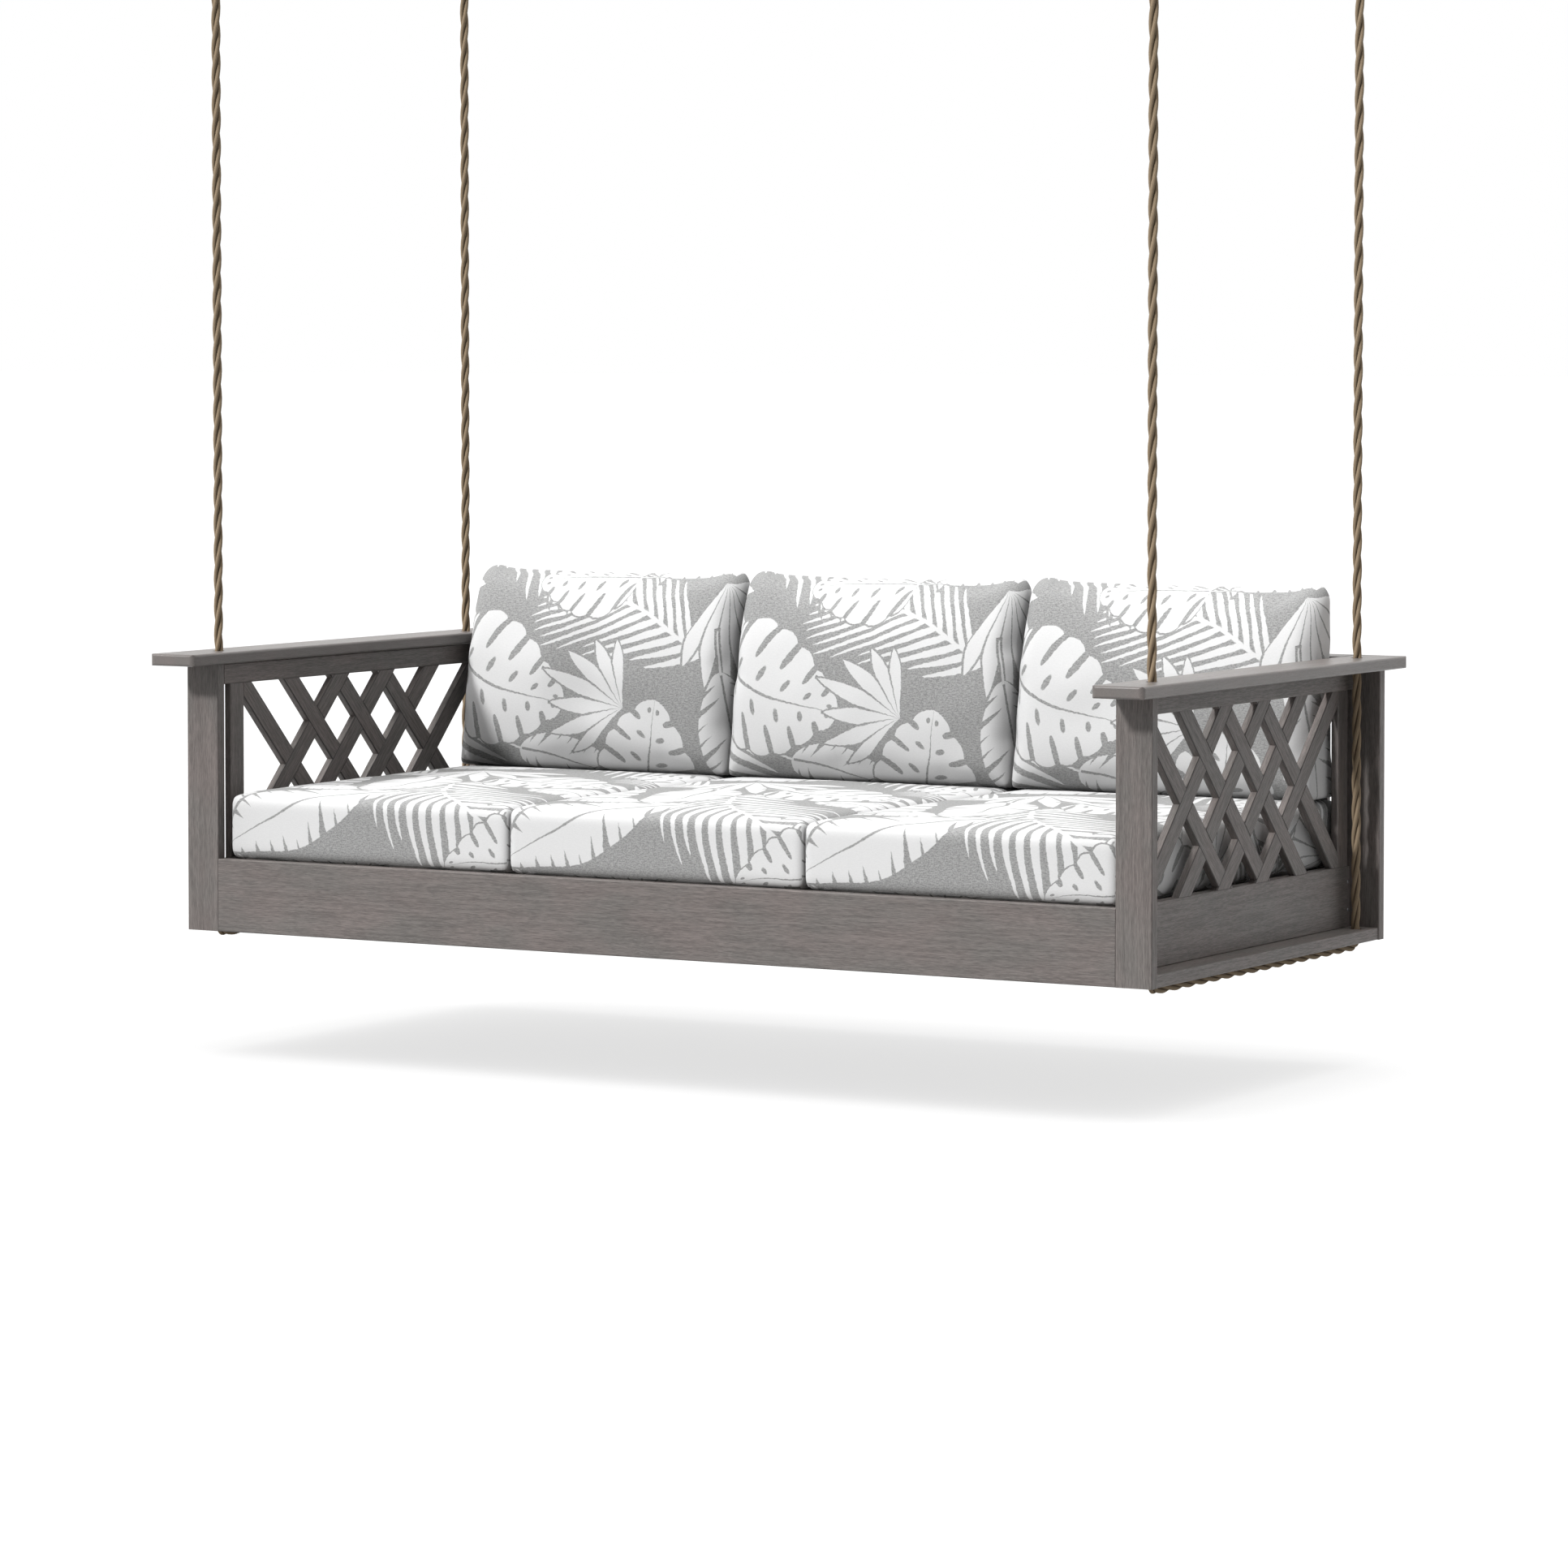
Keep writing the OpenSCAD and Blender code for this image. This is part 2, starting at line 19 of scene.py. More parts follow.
import bmesh
import bpy
import numpy as np
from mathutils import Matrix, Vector

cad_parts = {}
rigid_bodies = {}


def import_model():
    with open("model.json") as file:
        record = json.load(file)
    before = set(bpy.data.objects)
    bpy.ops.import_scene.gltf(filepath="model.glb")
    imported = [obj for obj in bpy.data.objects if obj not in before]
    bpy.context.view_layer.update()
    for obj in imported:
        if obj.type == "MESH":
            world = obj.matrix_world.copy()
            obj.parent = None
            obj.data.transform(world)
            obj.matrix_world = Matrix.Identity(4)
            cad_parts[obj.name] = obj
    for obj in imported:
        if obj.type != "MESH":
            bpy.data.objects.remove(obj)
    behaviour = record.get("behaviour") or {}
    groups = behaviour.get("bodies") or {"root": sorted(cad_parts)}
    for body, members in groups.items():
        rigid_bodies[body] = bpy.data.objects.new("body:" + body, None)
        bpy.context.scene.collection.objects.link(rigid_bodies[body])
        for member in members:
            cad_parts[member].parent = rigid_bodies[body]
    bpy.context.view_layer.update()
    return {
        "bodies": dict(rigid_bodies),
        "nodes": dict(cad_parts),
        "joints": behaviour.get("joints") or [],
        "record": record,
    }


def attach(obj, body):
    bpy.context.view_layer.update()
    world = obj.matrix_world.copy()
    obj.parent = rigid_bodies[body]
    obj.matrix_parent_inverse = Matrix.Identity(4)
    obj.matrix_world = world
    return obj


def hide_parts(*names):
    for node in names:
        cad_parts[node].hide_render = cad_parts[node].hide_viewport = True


LOG = logging.getLogger("swing_bed")
MM = 0.001
TINY = 1e-9
TURN = 2 * math.pi
SLANT = math.sqrt(0.5)

Triple = tuple[float, float, float]
ORIGIN: Triple = (0.0, 0.0, 0.0)
AXIS_X: Triple = (1.0, 0.0, 0.0)
AXIS_Y: Triple = (0.0, 1.0, 0.0)
AXIS_Z: Triple = (0.0, 0.0, 1.0)

# The bed's own levels and places, as in the part's source
DROP = 2230 * MM
ARM_TOP = 583 * MM
RAIL_TOP = 152 * MM
WINDOW_TOP = 516 * MM
ROPE_X = 1091 * MM
ROPE_Y = 474 * MM
STRIP_ACROSS = 175.3 * MM / math.sqrt(2)
BACK_STRIP_ACROSS = 172.7 * MM / math.sqrt(2)
STRIP_WIDTH = 43 * MM
SLAT_PITCH = 132.33 * MM


class Slot(str, Enum):
    """The record's material slots that suit the new pieces."""

    ROPE = "twisted_rope"
    STEEL = "hanger_steel"
    FABRIC = "cushion_fabric"


class Place(Enum):
    """A place in the bed, whose name is part of its pieces' names."""

    @property
    def label(self) -> str:
        """Give the name as the pieces have it."""
        return self.name.lower()


class Side(Place):
    """The bed's two ends, by the sign of X."""

    LEFT = -1
    RIGHT = 1


class End(Place):
    """The bed's front and rear, by the sign of Y."""

    FRONT = -1
    REAR = 1


class Seat(Place):
    """The three places along the bed, by their number from the middle."""

    LEFT = -1
    CENTRE = 0
    RIGHT = 1


def height(above_underside: float) -> float:
    """Give the row frame's Z of a height above the bed's underside."""
    return above_underside - DROP


# ---------------------------------------------------------------- pieces


def link_new(name: str, data: bpy.types.ID) -> bpy.types.Object:
    """Put a new object with the given data in the scene."""
    made = bpy.data.objects.new(name, data)
    bpy.context.scene.collection.objects.link(made)
    return made


def select_only(*pieces: bpy.types.Object) -> None:
    """Select the given pieces alone, with the first one active."""
    bpy.ops.object.select_all(action="DESELECT")
    for piece in pieces:
        piece.select_set(True)
    bpy.context.view_layer.objects.active = pieces[0]


@contextmanager
def edit_mode() -> Iterator[None]:
    """Hold the active piece in edit mode."""
    bpy.ops.object.mode_set(mode="EDIT")
    yield
    bpy.ops.object.mode_set(mode="OBJECT")


def select_parts(data: bpy.types.Mesh, kind: str, chosen: Callable[[object], bool]) -> None:
    """Select some parts of the mesh in edit mode, and no others.

    Args:
        data: The mesh.
        kind: The kind of part, faces or edges.
        chosen: Whether a part is to be selected.
    """
    bpy.ops.mesh.select_all(action="DESELECT")
    shape = bmesh.from_edit_mesh(data)
    for part in getattr(shape, kind):
        part.select_set(chosen(part))
    bmesh.update_edit_mesh(data)


def apply_modifier(piece: bpy.types.Object, modifier: bpy.types.Modifier) -> None:
    """Apply a piece's modifier."""
    select_only(piece)
    bpy.ops.object.modifier_apply(modifier=modifier.name)


def face_outwards(piece: bpy.types.Object) -> None:
    """Point a closed piece's faces outwards."""
    select_only(piece)
    with edit_mode():
        bpy.ops.mesh.select_all(action="SELECT")
        bpy.ops.mesh.normals_make_consistent(inside=False)


def dress(piece: bpy.types.Object, material: bpy.types.Material) -> None:
    """Give a piece one material."""
    if not piece.material_slots:
        piece.data.materials.append(material)
    for slot in piece.material_slots:
        slot.material = material


def read_points(piece: bpy.types.Object) -> np.ndarray:
    """Give a mesh piece's points."""
    points = np.zeros(len(piece.data.vertices) * 3)
    piece.data.vertices.foreach_get("co", points)
    return points.reshape(-1, 3)


def write_points(piece: bpy.types.Object, points: np.ndarray) -> None:
    """Set a mesh piece's points."""
    piece.data.vertices.foreach_set("co", points.ravel())
    piece.data.update()


def unit(rows: np.ndarray) -> np.ndarray:
    """Give vectors the length of one."""
    return rows / np.linalg.norm(rows, axis=1)[:, None]


# ---------------------------------------------------------------- node trees


def sign(operation: str, swapped: bool = False) -> Callable[..., Value]:
    """Make a method that adds one Math node.

    Args:
        operation: The node's operation.
        swapped: Whether the value itself comes last.

    Returns:
        The method.
    """

    def method(self: Value, *others: object) -> Value:
        """Add the node."""
        return self.apply(operation, *((*others, self) if swapped else (self, *others)))

    return method


class Value:
    """What a socket gives: each sign of arithmetic on it adds a Math or Vector Math node."""

    __add__, __radd__ = sign("ADD"), sign("ADD", swapped=True)
    __sub__, __rsub__ = sign("SUBTRACT"), sign("SUBTRACT", swapped=True)
    __mul__, __rmul__ = sign("MULTIPLY"), sign("MULTIPLY", swapped=True)
    __truediv__, __rtruediv__ = sign("DIVIDE"), sign("DIVIDE", swapped=True)
    __pow__, __abs__ = sign("POWER"), sign("ABSOLUTE")
    floor, fract, most = sign("FLOOR"), sign("FRACT"), sign("MAXIMUM")
    sine, root, angle = sign("SINE"), sign("SQRT"), sign("ARCTAN2")
    above, below = sign("GREATER_THAN"), sign("LESS_THAN")
    cross, wrap, unit = sign("CROSS_PRODUCT"), sign("WRAP"), sign("NORMALIZE")

    def __init__(self, graph: Graph, socket: bpy.types.NodeSocket) -> None:
        """Hold the graph and the socket."""
        self.graph = graph
        self.socket = socket

    def apply(self, operation: str, *values: object) -> Value:
        """Add a Math node, or a Vector Math node where the socket gives a vector."""
        kind = "ShaderNodeMath" if self.socket.type == "VALUE" else "ShaderNodeVectorMath"
        return self.graph.node(kind, dict(enumerate(values)), operation=operation)[0]

    def dot(self, other: object) -> Value:
        """Give the dot product with another vector."""
        inputs = {0: self, 1: other}
        return self.graph.node("ShaderNodeVectorMath", inputs, operation="DOT_PRODUCT")["Value"]

    def length(self) -> Value:
        """Give the vector's length."""
        return self.graph.node("ShaderNodeVectorMath", {0: self}, operation="LENGTH")["Value"]

    def parts(self) -> tuple[Value, Value]:
        """Give the vector's X and Y."""
        made = self.graph.node("ShaderNodeSeparateXYZ", {0: self})
        return made["X"], made["Y"]

    def least(self, *others: object) -> Value:
        """Give the least of the value and others."""
        made = self
        for other in others:
            made = made.apply("MINIMUM", made, other)
        return made

    def kept(self) -> Value:
        """Keep the value to 0..1."""
        return self.most(0.0).least(1.0)

    def smooth(self, low: float, high: float) -> Value:
        """Rise smoothly from 0 at low to 1 at high."""
        inputs = {"Value": self, "From Min": low, "From Max": high}
        made = self.graph.node("ShaderNodeMapRange", inputs, interpolation_type="SMOOTHSTEP")
        return made["Result"]

    def scaled(self, low: float, high: float) -> Value:
        """Stretch the value from 0..1 to low..high."""
        inputs = {"Value": self, "To Min": low, "To Max": high}
        return self.graph.node("ShaderNodeMapRange", inputs)["Result"]


class Graph:
    """Short calls for the nodes of one tree."""

    def __init__(self, tree: bpy.types.NodeTree) -> None:
        """Hold the tree that the calls add to."""
        self.tree = tree

    def feed(self, node: bpy.types.Node, inputs: dict) -> None:
        """Link each named or numbered input of a node, or set the input's own value."""
        for key, value in inputs.items():
            if isinstance(value, Value):
                self.tree.links.new(value.socket, node.inputs[key])
            else:
                node.inputs[key].default_value = value

    def node(self, kind: str, inputs: dict | None = None, **settings: object) -> dict:
        """Add a node.

        Args:
            kind: The node's type.
            inputs: What each named or numbered input is fed with.
            **settings: The node's own properties.

        Returns:
            The node's outputs by number and by name.
        """
        made = self.tree.nodes.new(kind)
        for key, value in settings.items():
            setattr(made, key, value)
        self.feed(made, inputs or {})
        outputs = {number: Value(self, socket) for number, socket in enumerate(made.outputs)}
        return outputs | {value.socket.name: value for value in outputs.values()}

    def use(self, group: bpy.types.NodeTree, inputs: dict[str, object]) -> dict:
        """Place a group and give its outputs."""
        return self.node("ShaderNodeGroup", inputs, node_tree=group)

    def combine(self, x: object, y: object, z: object) -> Value:
        """Give the vector of three values."""
        return self.node("ShaderNodeCombineXYZ", {"X": x, "Y": y, "Z": z})[0]

    def grey(self, tone: Value) -> Value:
        """Give the grey of one tone."""
        return self.node("ShaderNodeCombineColor", {0: tone, 1: tone, 2: tone})[0]

    def mix(self, factor: object, first: object, second: object, blend: str = "MIX") -> Value:
        """Mix two colours."""
        inputs = {0: factor, 6: first, 7: second}
        return self.node("ShaderNodeMix", inputs, data_type="RGBA", blend_type=blend)[2]

    def noise(
        self, place: Value, scale: float, detail: float, rough: float = 0.5, output: str = "Fac"
    ) -> Value:
        """Give smooth noise from 0 to 1, as a value or a colour."""
        inputs = {"Vector": place, "Scale": scale, "Detail": detail, "Roughness": rough}
        return self.node("ShaderNodeTexNoise", inputs)[output]

    def chance(self, number: Value) -> Value:
        """Give a random value from 0 to 1 for each whole number."""
        return self.node("ShaderNodeTexWhiteNoise", {"W": number}, noise_dimensions="1D")["Value"]


class Group(Graph):
    """A new shader node group with named sockets."""

    def __init__(
        self, name: str, inputs: dict[str, object], *outputs: str, kind: str = "Float"
    ) -> None:
        """Start the group.

        Args:
            name: The group's name.
            inputs: Each input's name and its default, a number or a tuple of three.
            *outputs: The names of the outputs.
            kind: What the outputs give.
        """
        super().__init__(bpy.data.node_groups.new(name, "ShaderNodeTree"))
        for label, default in inputs.items():
            given = "Vector" if isinstance(default, tuple) else "Float"
            self.socket(label, "INPUT", given).default_value = default
        for label in outputs:
            self.socket(label, "OUTPUT", kind)
        entry = self.tree.nodes.new("NodeGroupInput")
        self.given = [Value(self, socket) for socket in entry.outputs if socket.name]
        self.leave = self.tree.nodes.new("NodeGroupOutput")

    def socket(self, label: str, way: str, kind: str) -> bpy.types.NodeTreeInterfaceSocket:
        """Add a socket to the group's interface."""
        sockets = self.tree.interface
        return sockets.new_socket(label, in_out=way, socket_type=f"NodeSocket{kind}")

    def give(self, **outputs: Value) -> bpy.types.NodeTree:
        """Feed the group's outputs and give its tree."""
        self.feed(self.leave, outputs)
        return self.tree


class Surface(Graph):
    """A new material's tree, which feeds its Principled BSDF."""

    def __init__(self, name: str) -> None:
        """Start the material."""
        self.material = bpy.data.materials.new(name)
        self.material.use_nodes = True
        super().__init__(self.material.node_tree)

    def bump(self, rise: Value, strength: float, distance: float) -> Value:
        """Give the normal of a surface that a height bends."""
        inputs = {"Height": rise, "Strength": strength, "Distance": distance}
        return self.node("ShaderNodeBump", inputs)[0]

    def give(self, inputs: dict[str, object]) -> bpy.types.Material:
        """Feed the shader and give the material."""
        self.feed(self.tree.nodes["Principled BSDF"], inputs)
        return self.material


def opaque(colour: Triple, share: float = 1.0) -> tuple[float, float, float, float]:
    """Give a colour, or a darker share of it, with full alpha."""
    return (*(share * part for part in colour), 1.0)


# ---------------------------------------------------------------- leaf print


class Motif(Enum):
    """The print's four kinds of leaf."""

    SLIT = "slit leaf"
    SPLIT = "split leaf"
    PALM = "palm frond"
    FAN = "blade fan"


@dataclass(frozen=True)
class Print:
    """One leaf of the print: its kind, its centre and size in metres, and its turn in degrees."""

    kind: Motif
    centre: tuple[float, float]
    size: float
    turn: float


PRINT_REPEAT = 0.70
PRINT_SCALE = 1.22
PRINT_MOTIFS = (
    Print(Motif.SLIT, (0.27, 0.37), 0.23, 20.0),
    Print(Motif.SLIT, (0.50, 0.27), 0.22, 5.0),
    Print(Motif.PALM, (0.36, 0.64), 0.36, 200.0),
    Print(Motif.SLIT, (0.03, 0.40), 0.24, -55.0),
    Print(Motif.FAN, (0.62, 0.60), 0.27, 60.0),
    Print(Motif.PALM, (0.14, 0.24), 0.50, 50.0),
    Print(Motif.FAN, (0.36, 0.10), 0.26, 100.0),
    Print(Motif.SLIT, (0.55, 0.14), 0.36, 145.0),
    Print(Motif.SPLIT, (0.13, 0.53), 0.27, 15.0),
    Print(Motif.SPLIT, (0.41, 0.38), 0.27, -75.0),
    Print(Motif.SLIT, (0.60, 0.40), 0.30, 80.0),
    Print(Motif.FAN, (0.30, 0.52), 0.20, -160.0),
    Print(Motif.SPLIT, (0.26, 0.02), 0.21, 175.0),
)


class LeafGroup(Group):
    """A group that draws one kind of leaf, whose axis runs from -0.5 to 0.5 along X."""

    def __init__(self, name: str, size: str, default: float) -> None:
        """Start the group with the place in the leaf and one size of its own."""
        super().__init__(name, {"Leaf": ORIGIN, size: default}, "Mask", "Halo")

    @staticmethod
    def axes(leaf: Value, bow: float) -> tuple[Value, Value, Value, Value]:
        """Work out a leaf's own directions.

        Args:
            leaf: The place in the leaf.
            bow: How far the axis bends sideways.

        Returns:
            How far along it the place is, the same kept to 0..1, the signed distance
            from the axis, and the plain distance.
        """
        x, y = leaf.parts()
        along = x + 0.5
        inside = along.kept()
        side = y - (inside * math.pi).sine() * bow
        return along, inside, side, abs(side)

    @staticmethod
    def arc(share: Value, skew: float, power: float) -> Value:
        """Swell from 0 to 1 and back, with the widest place moved by skew."""
        return (share**skew * math.pi).sine().most(0.0) ** power

    @staticmethod
    def stalk(along: Value, away: Value, reach: float) -> Value:
        """Draw a thin stalk that tapers away from the leaf's foot."""
        thin = (along + 1.6 * reach) * 0.03
        return (thin.least(0.0125) - away).least(along + reach, 0.02 - along)

    def draw(self, inner: Value, outer: Value) -> bpy.types.NodeTree:
        """Turn the distances inside a leaf and its outline into its mask and its halo."""
        return self.give(Mask=inner.smooth(-0.0025, 0.0025), Halo=outer.smooth(-0.0185, -0.0135))


class Groups:
    """The node groups that the finishes share."""

    def __init__(self) -> None:
        """Build every group once."""
        self.grain = self._grain()
        self.seam = self._seam()
        self.weave = self._weave()
        self.stamp = self._stamp()
        self.leaves = {
            Motif.SLIT: self._slit_leaf(),
            Motif.SPLIT: self._split_leaf(),
            Motif.PALM: self._palm_frond(),
            Motif.FAN: self._blade_fan(),
        }
        self.leaf_print = self._leaf_print()

    @staticmethod
    def _grain() -> bpy.types.NodeTree:
        """Build the grain of a board: streaks, broad patches and a height.

        Returns:
            The group's tree.
        """
        board = {"Place": ORIGIN, "Along": AXIS_X, "Across": AXIS_Y, "Pitch": 100.0}
        inputs = {**board, "Shift": 0.5, "Seed": 0.0}
        graph = Group("Board grain", inputs, "Streaks", "Patches", "Height")
        place, along, across, pitch, shift, seed = graph.given
        through = along.cross(across)
        run, aside, deep = place.dot(along), place.dot(across), place.dot(through)
        own = (aside / pitch + shift).floor() * 3.7 + seed
        shifted = run + own * 1.31
        sideways = aside + own * 0.77
        flat = graph.combine(shifted, sideways, deep)
        waver = (graph.noise(flat, 5.0, 1.0) - 0.5) * 0.012
        bent = graph.combine(shifted, sideways + waver, deep)
        fine = graph.noise(bent * (46.0, 820.0, 820.0), 1.0, 2.0, 0.65)
        long = graph.noise(bent * (7.0, 210.0, 210.0), 1.0, 2.0)
        patches = graph.noise(flat * (6.0, 15.0, 15.0), 1.0, 2.0)
        streaks = fine * 0.66 + long * 0.34
        return graph.give(
            Streaks=streaks.smooth(0.34, 0.66),
            Patches=patches.smooth(0.3, 0.7),
            Height=streaks.smooth(0.3, 0.7),
        )

    @staticmethod
    def _seam() -> bpy.types.NodeTree:
        """Build a dark line of painted shade, as in a groove, along the long edges of a woven
        strip, on its broad faces.

        Returns:
            The group's tree.
        """
        strip = {"Along": AXIS_X, "Across": AXIS_Y, "Pitch": 0.1, "Width": 0.04}
        graph = Group("Strip seam", {"Place": ORIGIN, "Normal": AXIS_Z, **strip}, "Seam")
        place, normal, along, across, pitch, width = graph.given
        off = abs((place.dot(across) / pitch).fract() - 0.5) * pitch
        inside = width * 0.5 - off
        facing = normal.dot(along.cross(across))
        # painted shade: darkest within about 2 mm of each long edge, on the faces across the
        # strip's thickness
        return graph.give(Seam=inside.smooth(0.0034, 0.0018) * abs(facing).smooth(0.3, 0.7))

    @staticmethod
    def _weave() -> bpy.types.NodeTree:
        """Build a plain weave: its threads, and the heather of dyed yarn.

        Returns:
            The group's tree.
        """
        inputs = {"Place": ORIGIN, "Thread": 0.0011}
        graph = Group("Plain weave", inputs, "Threads", "Heather")
        place, thread = graph.given
        turn = math.pi / thread
        x, y = place.parts()
        over = (x * turn).sine() * (y * turn).sine()
        slubs = graph.noise(place * (120.0, 420.0, 0.0), 1.0, 1.0)
        specks = graph.noise(place, 330.0, 2.0, 0.75)
        heather = (slubs * 0.4 + specks * 0.6).smooth(0.34, 0.66)
        return graph.give(Threads=over.scaled(0.5, 1.0), Heather=heather)

    @staticmethod
    def _stamp() -> bpy.types.NodeTree:
        """Build the place of one leaf: a repeat, a centre, a turn and a size.

        Returns:
            The group's tree.
        """
        inputs = {"Place": ORIGIN, "Centre": ORIGIN, "Repeat": 0.7, "Turn": 0.0, "Size": 0.3}
        graph = Group("Leaf place", inputs, "Leaf", kind="Vector")
        place, centre, repeat, turn, size = graph.given
        half = repeat * 0.5
        high = graph.combine(half, half, 1.0)
        low = high * (-1.0, -1.0, -1.0)
        moved = {"Vector": (place - centre).wrap(high, low), "Angle": turn}
        turned = graph.node("ShaderNodeVectorRotate", moved, rotation_type="Z_AXIS")[0]
        return graph.give(Leaf=turned / graph.combine(size, size, 1.0))

    @staticmethod
    def _slit_leaf() -> bpy.types.NodeTree:
        """Build a long leaf that is slit along its veins from the edge.

        Returns:
            The group's tree.
        """
        graph = LeafGroup("Slit leaf", "Width", 0.235)
        leaf, width = graph.given
        slits = 12.0
        along, inside, _, away = graph.axes(leaf, 0.05)
        half = graph.arc(inside, 0.82, 0.62) * width
        outline = (half - away).least(along.least(1.0 - along))
        row = (along - away * 0.42) * slits
        depth = graph.chance(row.floor()).scaled(0.2, 0.8)
        open_to = (away / half.most(0.001) - depth).most(0.0)
        slit = abs(row.fract() - 0.5) / slits - open_to * 0.026 + open_to.below(0.01) * 0.01
        rib = away - (1.12 - inside) * 0.011
        stem = graph.stalk(along, away, 0.24)
        return graph.draw(outline.least(slit, rib).most(stem), outline.most(stem))

    @staticmethod
    def _split_leaf() -> bpy.types.NodeTree:
        """Build a broad leaf with rounded notches in its edge and small holes by its rib.

        Returns:
            The group's tree.
        """
        graph = LeafGroup("Split leaf", "Width", 0.42)
        leaf, width = graph.given
        notches, notch_foot = 5.0, 0.42
        along, inside, _, away = graph.axes(leaf, -0.06)
        half = graph.arc(inside, 0.66, 0.7) * width
        across = abs(((along - away * 0.5) * notches).fract() - 0.5)
        outline = (half - across * across * 0.16 - away).least(along, 1.0 - along)
        share = away / half.most(0.001)
        part = ((share - notch_foot) / (1.0 - notch_foot)).kept()
        opening = part**0.38 * (0.041 - part * 0.021)
        notch = (0.5 - across) / notches - opening + share.below(notch_foot) * 0.02
        hole_x, hole_y = across / 0.1, (share - 0.24) / 0.11
        hole = ((hole_x * hole_x + hole_y * hole_y).root() - 1.0) * 0.015
        rib = away - (1.0 - inside) * 0.013
        stem = graph.stalk(along, away, 0.2)
        return graph.draw(outline.least(notch, hole, rib).most(stem), outline.most(stem))

    @staticmethod
    def _palm_frond() -> bpy.types.NodeTree:
        """Build a frond of long pointed leaflets that leave its stem at a slant.

        Returns:
            The group's tree.
        """
        graph = LeafGroup("Palm frond", "Reach", 0.31)
        leaf, reach = graph.given
        pairs = 13.0
        along, _, side, away = graph.axes(leaf, -0.08)
        stagger = side.above(0.0) * 0.5
        curl = away * away * 0.9
        row = (along - away * 1.02 - curl) * pairs + stagger
        number = row.floor()
        station = (number + 0.5) / pairs
        swell = graph.arc(station.kept() * 0.84 + 0.13, 0.85, 0.7)
        length = swell * reach * graph.chance(number).scaled(0.86, 1.1)
        share = (away / length.most(0.001)).least(1.0)
        belly = (1.0 - share) ** 0.5 * 0.385
        neck = share.smooth(0.22, 0.0) * 0.12
        leaflet = (belly - neck - abs(row.fract() - 0.5)) / pairs
        tip = length - away
        ends = station.least(1.0 - station)
        stem = (0.009 - away).least(along + 0.16, 1.0 - along)
        around = (leaflet + 0.004).least(tip, ends)
        return graph.draw(leaflet.least(tip, ends).most(stem), around.most(stem))

    @staticmethod
    def _blade_fan() -> bpy.types.NodeTree:
        """Build a fan of petal-shaped blades that spring from one point.

        Returns:
            The group's tree.
        """
        graph = LeafGroup("Blade fan", "Spread", 2.2)
        leaf, spread = graph.given
        blades = 7.0
        base = leaf + (0.45, 0.0, 0.0)
        x, y = base.parts()
        far = base.length()
        step = spread / blades
        row = y.angle(x) / step + 0.5
        number = row.floor()
        away = abs(row.fract() - 0.5) * step * far
        count = abs(number)
        length = graph.chance(number).scaled(0.84, 1.0) - count * 0.085
        edge = graph.arc((far / length).least(1.0), 1.2, 0.8) * 0.062 - away
        wedge = step * 0.43 * far - away
        tip = length - far
        inside = blades * 0.5 - count
        return graph.draw(edge.least(wedge, tip, inside), edge.least(tip + 0.01, inside))

    def _leaf_print(self) -> bpy.types.NodeTree:
        """Build the whole print, each leaf laid over those before it with a thin gap.

        Returns:
            The group's tree.
        """
        graph = Group("Leaf print", {"Place": ORIGIN}, "Leaves")
        given = graph.given[0]
        ragged = graph.noise(given, 150.0, 2.0, output="Color") - (0.5, 0.5, 0.5)
        sway = graph.noise(given, 9.0, 0.0, output="Color") - (0.5, 0.5, 0.5)
        place = given + ragged * (0.0035, 0.0035, 0.0) + sway * (0.02, 0.02, 0.0)
        total = None
        for motif in PRINT_MOTIFS:
            inputs = {
                "Place": place,
                "Centre": (*motif.centre, 0.0),
                "Repeat": PRINT_REPEAT,
                "Turn": math.radians(motif.turn),
                "Size": motif.size,
            }
            leaf = graph.use(self.leaves[motif.kind], {"Leaf": graph.use(self.stamp, inputs)[0]})
            if total is None:
                total = leaf["Mask"]
            else:
                total = (total * (1.0 - leaf["Halo"])).most(leaf["Mask"])
        return graph.give(Leaves=total)


# ---------------------------------------------------------------- finishes


